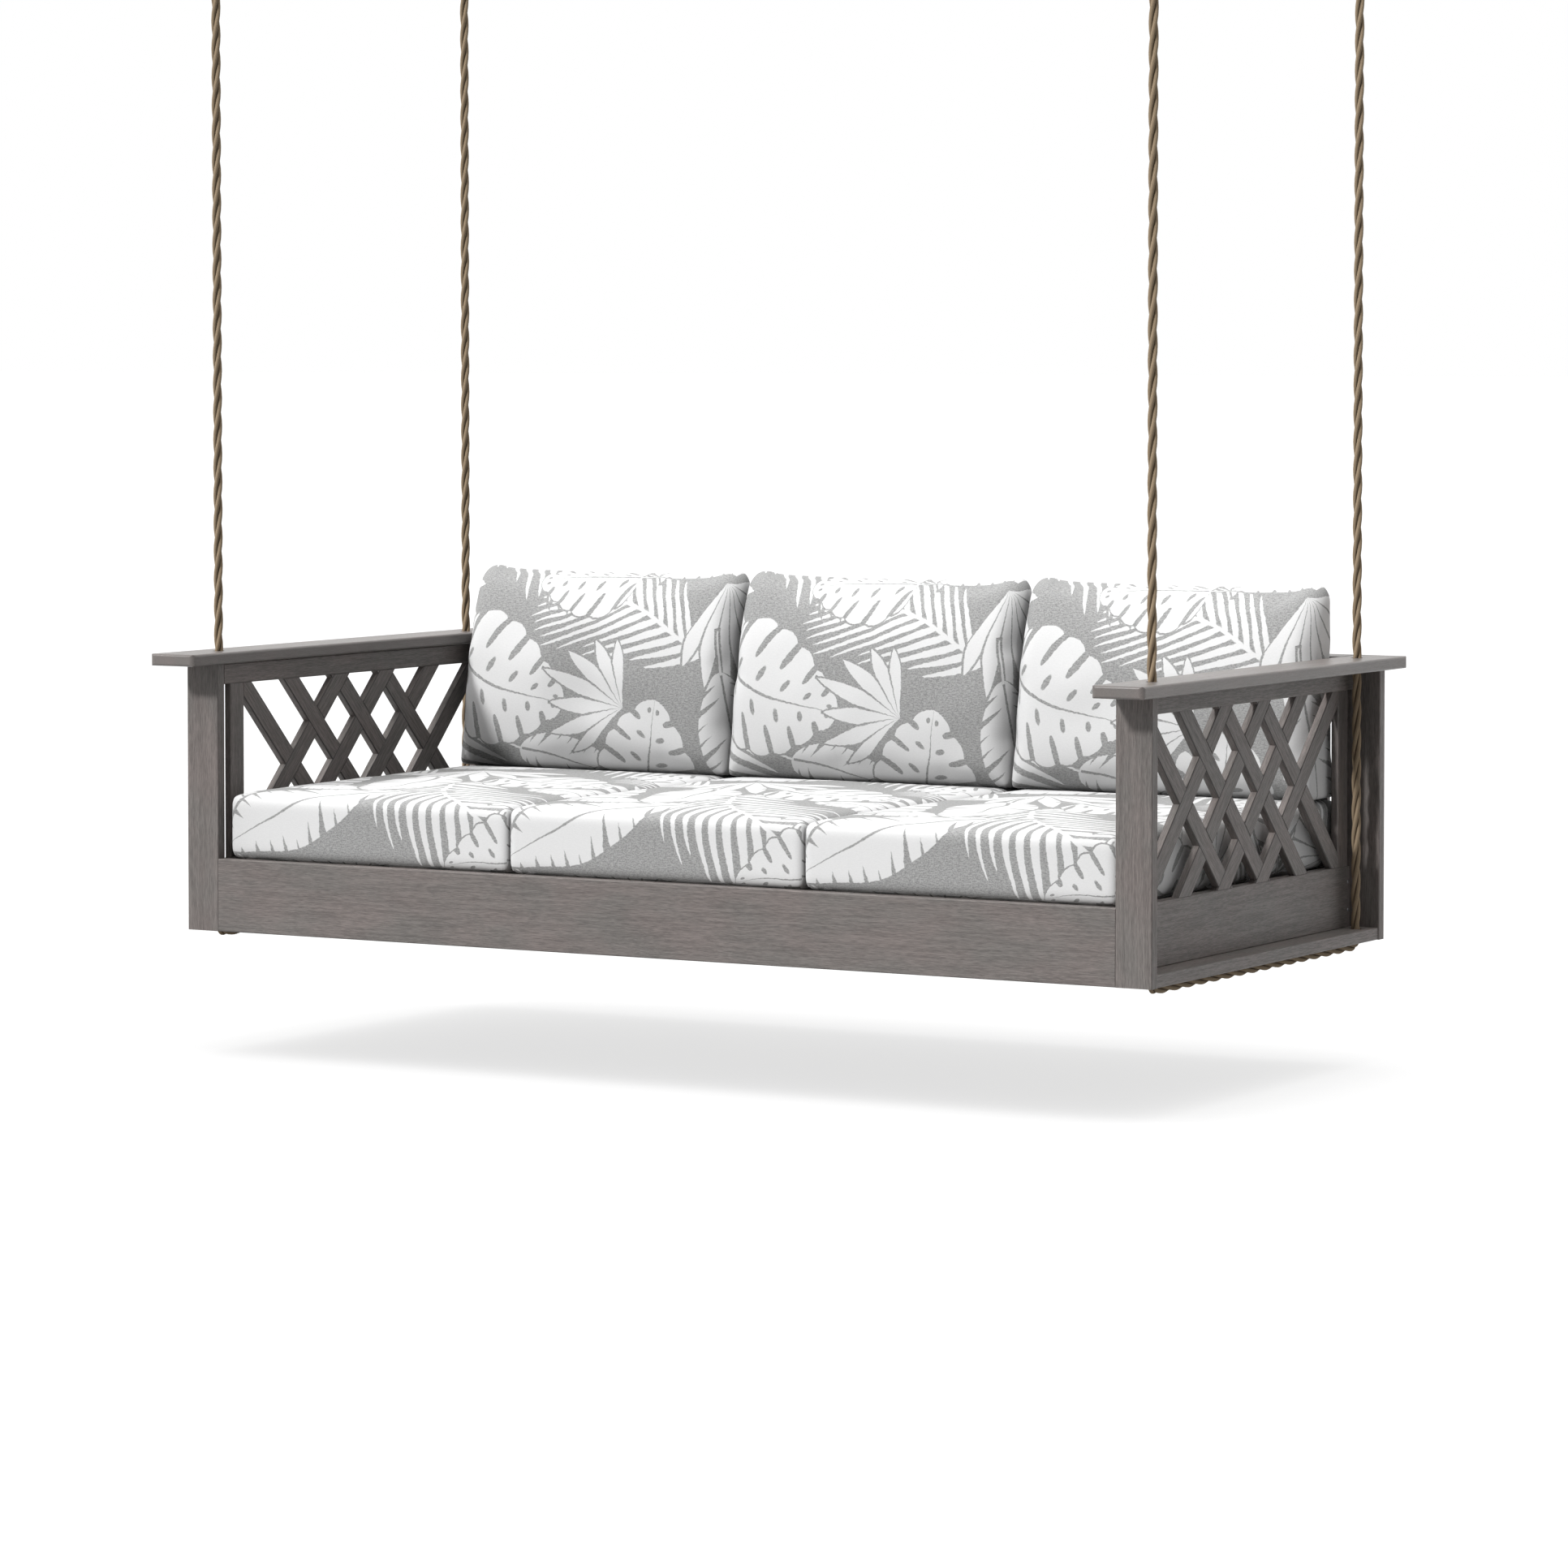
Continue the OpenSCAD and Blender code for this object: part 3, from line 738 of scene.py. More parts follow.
@dataclass(frozen=True)
class Lumber:
    """Weathered grey-brown lumber with its grain along the board.

    Fields: the directions along and across the grain, its seed, a point of the board's
    middle, the spacing of the boards in a node that holds several and where the first
    lies in it, the width of a woven strip, the warm and the cool tone, how strong the
    grain and the stipple are, the roughness, the gloss, and the tone of the painted
    shade along a strip's long edges.
    """

    name: str
    along: Triple
    across: Triple
    seed: float = 0.0
    origin: Triple = ORIGIN
    pitch: float = 100.0
    shift: float = 0.5
    strip: float = 0.0
    warm: Triple = (0.186, 0.161, 0.152)
    cool: Triple = (0.168, 0.155, 0.146)
    grain: float = 0.3
    stipple: float = 0.0
    rough: float = 0.47
    gloss: float = 0.35
    seam_tone: float = 0.35

    def material(self, groups: Groups) -> bpy.types.Material:
        """Build the finish.

        Args:
            groups: The shared node groups.

        Returns:
            The material.
        """
        graph = Surface(self.name)
        coordinates = graph.node("ShaderNodeTexCoord")
        place = coordinates["Object"]
        board = {"Place": place - self.origin, "Pitch": self.pitch}
        board.update({"Along": self.along, "Across": self.across})
        grain = graph.use(groups.grain, {**board, "Shift": self.shift, "Seed": self.seed})
        colour = graph.mix(grain["Patches"], opaque(self.cool), opaque(self.warm))
        tone = grain["Streaks"].scaled(1.0 - self.grain, 1.0 + self.grain)
        if self.stipple:
            specks = graph.noise(place, 900.0, 1.0)
            tone = tone * specks.scaled(1.0 - self.stipple, 1.0 + self.stipple)
        # painted shade along the woven strip's long edges
        if self.strip:
            inputs = {**board, "Normal": coordinates["Normal"], "Width": self.strip}
            tone = tone * graph.use(groups.seam, inputs)[0].scaled(1.0, self.seam_tone)
        return graph.give(
            {
                "Base Color": graph.mix(1.0, colour, graph.grey(tone), "MULTIPLY"),
                "Roughness": grain["Streaks"].scaled(self.rough + 0.05, self.rough - 0.05),
                "Specular IOR Level": self.gloss,
                "Normal": graph.bump(grain["Height"], 0.3, 0.0005),
            }
        )


@dataclass(frozen=True)
class Steel:
    """Plated or coated steel with a fine broken sheen."""

    name: str
    colour: Triple
    metallic: float
    rough: float
    dark_share: float = 0.72

    def material(self) -> bpy.types.Material:
        """Build the finish as a material.

        Returns:
            The material.
        """
        graph = Surface(self.name)
        place = graph.node("ShaderNodeTexCoord")["Object"]
        cloud = graph.noise(place, 90.0, 3.0, 0.6).smooth(0.3, 0.7)
        scuffs = graph.noise(place * (1.0, 1.0, 0.25), 900.0, 2.0)
        dark = opaque(self.colour, self.dark_share)
        return graph.give(
            {
                "Base Color": graph.mix(cloud, dark, opaque(self.colour)),
                "Metallic": self.metallic,
                "Roughness": scuffs.scaled(self.rough - 0.08, self.rough + 0.14),
                "Normal": graph.bump(scuffs, 0.12, 0.0003),
            }
        )


@dataclass(frozen=True)
class Rope:
    """Tan three-strand rope: yarns that wind along each strand, with painted shade in its grooves.
    """

    name: str = "twisted rope"
    light: Triple = (0.39, 0.295, 0.195)
    # the colour of the painted shade in the grooves between strands
    dark: Triple = (0.1, 0.073, 0.046)
    worn_share: float = 0.62

    def material(self) -> bpy.types.Material:
        """Build the finish as a material.

        Returns:
            The material.
        """
        graph = Surface(self.name)
        place = graph.node("ShaderNodeUVMap", uv_map="yarn")[0]
        x, y = place.parts()
        yarns = abs(((x * 9.0 + y * 230.0) * math.pi).sine())
        fluff = graph.noise(place * (26.0, 900.0, 0.0), 1.0, 3.0, 0.65)
        # painted shade: points near the rope's line, down in the grooves between strands, take the
        # dark colour
        depth = graph.node("ShaderNodeAttribute", attribute_name="groove")["Fac"]
        tone = yarns * 0.2 + fluff * 0.8
        worn = opaque(self.light, self.worn_share)
        lit = graph.mix(tone.smooth(0.15, 0.8), worn, opaque(self.light))
        return graph.give(
            {
                "Base Color": graph.mix(depth.smooth(0.35, 0.85), opaque(self.dark), lit),
                "Roughness": 0.85,
                "Specular IOR Level": 0.25,
                "Normal": graph.bump(tone, 0.5, 0.0006),
            }
        )


@dataclass(frozen=True)
class PrintedCloth:
    """Woven outdoor cloth with white leaves on a heathered grey ground.

    For diffuse rays its colour is darkened by a share: painted shade that holds back part of
    the light it would throw on its neighbours, as the studio's black cards do beside white goods.
    """

    name: str
    offset: tuple[float, float] = (0.0, 0.0)
    white: Triple = (0.81, 0.81, 0.81)
    white_share: float = 0.955
    ground: Triple = (0.46, 0.46, 0.457)
    ground_dark: Triple = (0.25, 0.25, 0.248)
    # the share by which diffuse rays see the cloth darker, as painted shade
    held_back: float = 0.9

    def material(self, groups: Groups) -> bpy.types.Material:
        """Build the finish.

        Args:
            groups: The shared node groups.

        Returns:
            The material.
        """
        graph = Surface(self.name)
        place = graph.node("ShaderNodeUVMap", uv_map="panel")[0]
        moved = place * (1.0 / PRINT_SCALE, 1.0 / PRINT_SCALE, 1.0) + (*self.offset, 0.0)
        leaves = graph.use(groups.leaf_print, {"Place": moved})["Leaves"]
        weave = graph.use(groups.weave, {"Place": place})
        heather = weave["Heather"]
        ground = graph.mix(heather, opaque(self.ground_dark), opaque(self.ground))
        paler = graph.mix(heather, opaque(self.white, self.white_share), opaque(self.white))
        # painted shade: diffuse rays see the cloth darker by this share, so less light bounces from
        # it onto its neighbours
        bounce_shade = graph.node("ShaderNodeLightPath")["Is Diffuse Ray"] * self.held_back
        printed = graph.mix(leaves, ground, paler)
        return graph.give(
            {
                "Base Color": graph.mix(bounce_shade, printed, (0.0, 0.0, 0.0, 1.0)),
                "Roughness": 0.9,
                "Specular IOR Level": 0.2,
                "Sheen Weight": 0.15,
                "Sheen Roughness": 0.5,
                "Normal": graph.bump(weave["Threads"] * 0.6 + heather * 0.4, 0.25, 0.0004),
            }
        )


# ---------------------------------------------------------------- studio


@dataclass(frozen=True)
class Glow:
    """A soft lobe of the surroundings: its turn from the front, height, level and tightness."""

    turn: float
    rise: float
    level: float
    tight: float

    def towards(self) -> Vector:
        """Give the direction in which the lobe lies."""
        turn, rise = math.radians(self.turn), math.radians(self.rise)
        flat = math.cos(rise)
        return Vector((math.sin(turn) * flat, -math.cos(turn) * flat, math.sin(rise)))


@dataclass
class Studio:
    """The camera, the lights, the pale floor and the white surroundings.

    Angles are in degrees. The key's tightness is the angle that it fills.
    """

    lens: float = 131.903
    sensor: float = 36.0
    place: Triple = (5.9576, -10.3178, -0.9930)
    yaw: float = 29.9762
    pitch: float = 2.5588
    shift: float = -0.12
    floor_size: float = 400.0
    floor_gap: float = 0.26
    floor_tone: float = 0.34
    floor_seen: float = 0.38
    floor_white: float = 0.715
    key: Glow = Glow(-23.0, 35.0, 2.3, 7.0)
    base_level: float = 0.02
    glows: tuple[Glow, ...] = (
        Glow(-62.0, 28.0, 1.1, 5.0),
        Glow(112.0, 46.0, 0.5, 7.0),
        Glow(178.0, 22.0, 1.0, 5.0),
        Glow(-10.0, 86.0, 4.9, 11.0),
    )

    def camera(self) -> None:
        """Place the camera at the photograph's viewpoint."""
        data = bpy.data.cameras.new("camera")
        data.lens, data.sensor_width, data.shift_y = self.lens, self.sensor, self.shift
        made = link_new("camera", data)
        made.location = self.place
        made.rotation_euler = (math.radians(90.0 - self.pitch), 0.0, math.radians(self.yaw))
        bpy.context.scene.camera = made

    def floor(self) -> bpy.types.Object:
        """Lay a wide floor below the bed that shows as white and keeps a pale shadow.

        Returns:
            The floor.
        """
        level = -DROP - self.floor_gap
        bpy.ops.mesh.primitive_plane_add(size=self.floor_size, location=(0.0, 0.0, level))
        made = bpy.context.active_object
        made.name = "floor"
        graph = Surface("pale floor")
        seen = self.seen(graph)
        inputs = {
            "Base Color": graph.grey(seen.scaled(self.floor_tone, self.floor_seen)),
            "Emission Color": graph.grey(seen * self.floor_white),
            "Emission Strength": 1.0,
            "Roughness": 1.0,
            "Specular IOR Level": 0.0,
        }
        dress(made, graph.give(inputs))
        return made

    @staticmethod
    def seen(graph: Graph) -> Value:
        """Give 1 for rays that the camera, a gloss or a glass sends, and 0 for the light's own."""
        rays = graph.node("ShaderNodeLightPath")
        gloss = rays["Is Glossy Ray"].most(rays["Is Transmission Ray"])
        return rays["Is Camera Ray"].most(gloss)

    def surroundings(self) -> None:
        """Light from soft lobes on the left, behind and overhead, and show plain white."""
        world = bpy.data.worlds.new("surroundings")
        bpy.context.scene.world = world
        world.use_nodes = True
        graph = Graph(world.node_tree)
        out = graph.node("ShaderNodeTexCoord")["Generated"].unit()
        light = self.base_level
        for glow in self.glows:
            light = light + out.dot(glow.towards()).most(0.0) ** glow.tight * glow.level
        seen = self.seen(graph)
        inputs = {"Color": (1.0, 1.0, 1.0, 1.0), "Strength": light * (1.0 - seen) + seen}
        graph.feed(world.node_tree.nodes["Background"], inputs)

    def sun(self, floor: bpy.types.Object) -> None:
        """Add the key light from the front and left, for the bed alone.

        Args:
            floor: The floor, which the light leaves out.
        """
        data = bpy.data.lights.new("key", "SUN")
        data.energy = self.key.level
        data.angle = math.radians(self.key.tight)
        made = link_new("key", data)
        made.rotation_euler = self.key.towards().to_track_quat("Z", "Y").to_euler()
        apart = bpy.data.collections.new("not_lit_by_key")
        apart.objects.link(floor)
        made.light_linking.receiver_collection = apart
        apart.collection_objects[0].light_linking.link_state = "EXCLUDE"

    def build(self) -> None:
        """Build the studio."""
        bpy.context.scene.view_settings.view_transform = "Standard"
        self.camera()
        floor = self.floor()
        self.surroundings()
        self.sun(floor)


# ---------------------------------------------------------------- ropes


@dataclass(frozen=True)
class Strand:
    """A wound strand: its rings of points, how far each is from the rope's line, and its run."""

    rings: np.ndarray
    far: np.ndarray
    run: np.ndarray


@dataclass
class RopeSide:
    """The rope of one end of the bed, from one ceiling thimble to the other.

    It hangs from the front, runs down through the arm and the ledge, along under the
    ledge, and up again at the back, and its three strands wind along the whole way.
    """

    side: Side
    finish: bpy.types.Material
    diameter: float = 19 * MM
    lay: float = 175 * MM
    bend: float = 19 * MM
    bend_points: int = 9
    thimble_z: float = -116.4 * MM
    eye_radius: float = 26 * MM
    eye_points: int = 60
    splice: float = 80 * MM
    splice_points: int = 22
    splice_swell: float = 3.0 * MM
    splice_end: float = 0.8
    splice_top: float = 1.15
    splice_power: float = 0.8
    join_z: float = 576.5 * MM - DROP
    under_z: float = -9.8 * MM - DROP
    step: float = 5 * MM
    corners: int = 12
    strands: int = 3
    strand_off: float = 0.536
    strand_radius: float = 0.478
    path: np.ndarray = field(init=False)
    run: np.ndarray = field(init=False)

    def __post_init__(self) -> None:
        """Lay out the rope's centreline and its running length."""
        low, bend = self.under_z, self.bend
        down = [(-ROPE_Y, z) for z in np.arange(self.throat, low + bend, -self.step)]
        corner = [
            (-ROPE_Y + bend - bend * math.cos(a), low + bend - bend * math.sin(a))
            for a in np.linspace(0.0, TURN / 4, self.bend_points)
        ]
        middle = [(y, low) for y in np.arange(-ROPE_Y + bend, 0.0, self.step)][1:]
        half = down + corner + middle
        points = half + [(0.0, low)] + [(-y, z) for y, z in reversed(half)]
        self.path = np.array([(self.side.value * ROPE_X, y, z) for y, z in points])
        steps = np.linalg.norm(np.diff(self.path, axis=0), axis=1)
        self.run = np.concatenate([[0.0], np.cumsum(steps)])

    @property
    def throat(self) -> float:
        """Give the Z of the bottom of the thimble's eye."""
        return self.thimble_z - self.eye_radius

    def wind(self, points: np.ndarray, run: np.ndarray, radius: np.ndarray) -> list[Strand]:
        """Wind the strands round a stretch of rope.

        Args:
            points: The stretch's points.
            run: The running length at each.
            radius: The rope's radius at each.

        Returns:
            The strands.
        """
        tangent = unit(np.gradient(points, axis=0))
        across = np.tile(AXIS_X, (len(points), 1))
        other = np.cross(tangent, across)
        ring = np.linspace(0.0, TURN, self.corners, endpoint=False)
        found = []
        for strand in range(self.strands):
            turn = TURN * (run / self.lay + strand / self.strands)
            out = np.cos(turn)[:, None] * across + np.sin(turn)[:, None] * other
            centre = points + out * (self.strand_off * radius)[:, None]
            lean = unit(np.gradient(centre, axis=0))
            flat = unit(out - (out * lean).sum(1)[:, None] * lean)
            side = np.cross(lean, flat)
            around = np.cos(ring)[None, :, None] * flat[:, None]
            around = around + np.sin(ring)[None, :, None] * side[:, None]
            rings = centre[:, None] + around * (self.strand_radius * radius)[:, None, None]
            far = np.linalg.norm(rings - points[:, None], axis=2) / radius[:, None]
            found.append(Strand(rings, far, run))
        return found

    def mesh(self, name: str, strands: list[Strand]) -> bpy.types.Object:
        """Make one mesh of closed strands, with its yarn map and the attribute that sets the
        painted shade in its grooves.

        Args:
            name: The piece's name.
            strands: The wound strands.

        Returns:
            The piece.
        """
        points, faces, yarn, groove = [], [], [], []
        for strand in strands:
            first, count = len(points), len(strand.rings)
            points += [tuple(point) for point in strand.rings.reshape(-1, 3)]
            groove += list(strand.far.reshape(-1))
            for i in range(count - 1):
                a = first + i * self.corners
                b = a + self.corners
                low, high = strand.run[i], strand.run[i + 1]
                for j in range(self.corners):
                    k = (j + 1) % self.corners
                    faces.append((a + j, b + j, b + k, a + k))
                    left, right = j / self.corners, (j + 1) / self.corners
                    yarn += [(left, low), (left, high), (right, high), (right, low)]
            for i, way in ((0, 1), (count - 1, -1)):
                cap = [first + i * self.corners + j for j in range(self.corners)]
                faces.append(tuple(cap[::way]))
                yarn += [(0.5, strand.run[i])] * self.corners
        data = bpy.data.meshes.new(name)
        data.from_pydata(points, [], faces)
        data.uv_layers.new(name="yarn").data.foreach_set("uv", np.array(yarn, np.float32).ravel())
        # each point's distance from the rope's line, which sets the painted shade in the grooves
        depth = data.attributes.new("groove", "FLOAT", "POINT")
        depth.data.foreach_set("value", np.array(groove, np.float32))
        made = link_new(name, data)
        data.shade_smooth()
        face_outwards(made)
        dress(made, self.finish)
        return made

    def stretch(self, name: str, start: float, end: float) -> tuple[bpy.types.Object, np.ndarray]:
        """Make the rope between two running lengths.

        Args:
            name: The piece's name.
            start: The running length where it starts.
            end: The running length where it ends.

        Returns:
            The piece and its centreline.
        """
        run = np.linspace(start, end, max(2, round((end - start) / self.step)))
        points = np.stack([np.interp(run, self.run, self.path[:, k]) for k in range(3)], axis=1)
        radius = np.full(len(run), self.diameter / 2)
        return self.mesh(name, self.wind(points, run, radius)), points

    def eye(self, name: str, end: End) -> bpy.types.Object:
        """Make the rope's eye round its thimble, with the tapered splice below it.

        Args:
            name: The piece's name.
            end: The end of the bed that it belongs to.

        Returns:
            The piece.
        """
        x, y, radius = self.side.value * ROPE_X, end.value * ROPE_Y, self.diameter / 2
        turns = np.linspace(-TURN / 4, 0.75 * TURN, self.eye_points)
        ring = [np.zeros_like(turns), np.cos(turns), np.sin(turns)]
        loop = np.array([x, y, self.thimble_z]) + self.eye_radius * np.stack(ring, axis=1)
        run = self.eye_radius * (turns + TURN / 4)
        strands = self.wind(loop, run, np.full(len(turns), radius))
        heights = np.linspace(0.0, self.splice, self.splice_points)
        share = np.minimum(1.0, heights / self.splice * self.splice_top)
        bulge = np.sin(math.pi * share**self.splice_power)
        thin = self.splice_end * radius
        swell = thin + (self.splice_swell + radius - thin) * bulge
        rise = self.throat - self.splice + heights
        sleeve = np.stack([np.full(len(rise), x), np.full(len(rise), y), rise], axis=1)
        strands += self.wind(sleeve, heights + self.lay / 6, swell)
        return self.mesh(name, strands)

    def build(self) -> None:
        """Make the two hanging lengths and the length that carries the bed."""
        label = self.side.label
        total = self.run[-1]
        hanging = self.throat - self.join_z
        spans = {End.FRONT: (0.0, hanging), End.REAR: (total - hanging, total)}
        sling, _ = self.stretch(f"rope_under_{label}_end", hanging, total - hanging)
        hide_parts(f"sling_rope_{label}")
        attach(sling, "bed")
        for end, (start, stop) in spans.items():
            corner = f"{end.label}_{label}"
            piece, line = self.stretch(f"hanging_rope_{corner}", start, stop)
            eye = self.eye(f"rope_eye_{corner}", end)
            for made in (piece, eye):
                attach(made, f"{end.label}_ropes")
            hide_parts(f"rope_{corner}")
            LOG.info("rope %s: %.3f m from arm to thimble", corner, hanging)


# ---------------------------------------------------------------- frame


class Joinery:
    """The lumber frame: each board's grain, and the steel that ties it together."""

    ALONG_X = (AXIS_X, AXIS_Y)
    ALONG_Y = (AXIS_Y, AXIS_X)
    ALONG_Z = (AXIS_Z, AXIS_X)
    RAILS = ("front_rail", "back_rail", "top_rail_back")
    UNDER_SEATS = ("cleat_front", "cleat_back", "centre_stringer")
    SMOOTH = {
        "grain": 0.08,
        "stipple": 0.2,
        "rough": 0.36,
        "gloss": 0.6,
        "warm": (0.183, 0.158, 0.149),
        "cool": (0.166, 0.151, 0.142),
    }
    SEED_STEP = 1.37

    def __init__(self, groups: Groups, nodes: dict[str, bpy.types.Object]) -> None:
        """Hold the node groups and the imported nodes."""
        self.groups = groups
        self.nodes = nodes
        self.seed = 0

    def lay(self, node: str, directions: tuple[Triple, Triple], **settings: object) -> None:
        """Give one node lumber with its own piece of grain.

        Args:
            node: The node's name.
            directions: The vectors along and across its grain.
            **settings: Further fields of the finish.
        """
        self.seed += 1
        seed = self.seed * self.SEED_STEP
        finish = Lumber(f"{node} lumber", *directions, seed=seed, **settings)
        dress(self.nodes[node], finish.material(self.groups))

    def boards(self) -> None:
        """Dress every plain board."""
        for end in End:
            for side in Side:
                self.lay(f"post_{end.label}_{side.label}", self.ALONG_Z)
        for node in self.RAILS + self.UNDER_SEATS:
            self.lay(node, self.ALONG_X)
        self.lay("back_cap", self.ALONG_X, **self.SMOOTH)
        for side in Side:
            for node in ("side_rail", "ledge", "top_rail"):
                self.lay(f"{node}_{side.label}", self.ALONG_Y)
            self.lay(f"arm_{side.label}", self.ALONG_Y, **self.SMOOTH)
            for end in End:
                self.lay(f"stile_{side.label}_{end.label}", self.ALONG_Z)
            self.lay(f"stile_back_{side.label}", self.ALONG_Z)
        self.lay("rail_spacers", self.ALONG_Z)
        self.lay("seat_slats", self.ALONG_Y, pitch=SLAT_PITCH, shift=0.0)

    def lattice(self) -> None:
        """Dress the woven strips, each strip with its own grain."""
        middle = height((RAIL_TOP + WINDOW_TOP) / 2)
        strip = {"origin": (0.0, 0.0, middle), "shift": 0.0, "strip": STRIP_WIDTH}
        for lean, family in ((SLANT, "rising"), (-SLANT, "falling")):
            in_end = ((0.0, SLANT, lean), (0.0, -lean, SLANT))
            in_back = ((SLANT, 0.0, lean), (-lean, 0.0, SLANT))
            for side in Side:
                node = f"lattice_{side.label}_{family}"
                self.lay(node, in_end, pitch=STRIP_ACROSS, **strip)
            self.lay(f"lattice_back_{family}", in_back, pitch=BACK_STRIP_ACROSS, **strip)

    def steel(self) -> bpy.types.Material:
        """Dress the hangers, links, thimbles, screws and brackets, and give the zinc finish.

        Returns:
            The zinc finish.
        """
        zinc = Steel("zinc plate", (0.47, 0.47, 0.49), 1.0, 0.36).material()
        black = Steel("black coat", (0.035, 0.035, 0.036), 0.0, 0.5).material()
        for name, node in self.nodes.items():
            if name.startswith(("hanger_", "link_", "thimble_", "bracket_screws")):
                dress(node, zinc)
        dress(self.nodes["steel_brackets"], black)
        return zinc

    def build(self) -> bpy.types.Material:
        """Dress the whole frame and give the zinc finish.

        Returns:
            The zinc finish.
        """
        self.boards()
        self.lattice()
        LOG.info("frame: %d boards and lattices dressed", self.seed)
        return self.steel()


@dataclass
class SpacerScrews:
    """Pan-head screws that show on the blocks beside the posts."""

    finish: bpy.types.Material
    face_x: float = 1059 * MM
    place_y: float = 504 * MM
    above: tuple[float, float] = (60 * MM, 118 * MM)
    head: float = 8 * MM
    rise: float = 2.6 * MM
    edge: float = 0.8 * MM
    drive: float = 3.2 * MM
    drive_depth: float = 1.2 * MM
    flat: float = 0.999
    smooth_angle: float = 35.0

    def head_piece(self) -> bpy.types.Object:
        """Shape one screw head that points along +Z from the origin.

        Returns:
            The head.
        """
        bpy.ops.mesh.primitive_cylinder_add(
            vertices=24, radius=self.head / 2, depth=self.rise, location=(0, 0, self.rise / 2)
        )
        made = bpy.context.active_object
        sink = {"value": (0, 0, -self.drive_depth)}
        with edit_mode():
            select_parts(made.data, "faces", lambda face: face.normal.z > self.flat)
            bpy.ops.mesh.bevel(offset=self.edge, segments=3, affect="EDGES")
            select_parts(made.data, "faces", lambda face: face.normal.z > self.flat)
            bpy.ops.mesh.inset(thickness=(self.head - self.drive) / 2 - self.edge)
            bpy.ops.mesh.extrude_region_move(TRANSFORM_OT_translate=sink)
        bpy.ops.object.shade_smooth_by_angle(angle=math.radians(self.smooth_angle))
        return made

    def build(self) -> None:
        """Set the heads on the blocks and join them into one piece."""
        pattern = self.head_piece()
        copies = []
        for side in Side:
            for end in End:
                for above in self.above:
                    made = link_new(pattern.name, pattern.data.copy())
                    made.rotation_euler = (0.0, side.value * TURN / 4, 0.0)
                    place = (side.value * self.face_x, end.value * self.place_y, height(above))
                    made.location = place
                    copies.append(made)
        bpy.data.objects.remove(pattern)
        select_only(*copies)
        bpy.ops.object.transform_apply(location=True, rotation=True, scale=True)
        bpy.ops.object.join()
        joined = bpy.context.active_object
        joined.name = "spacer_screw_heads"
        face_outwards(joined)
        dress(joined, self.finish)
        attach(joined, "bed")
        LOG.info("spacer screws: %d heads", len(copies))


# ---------------------------------------------------------------- cushions


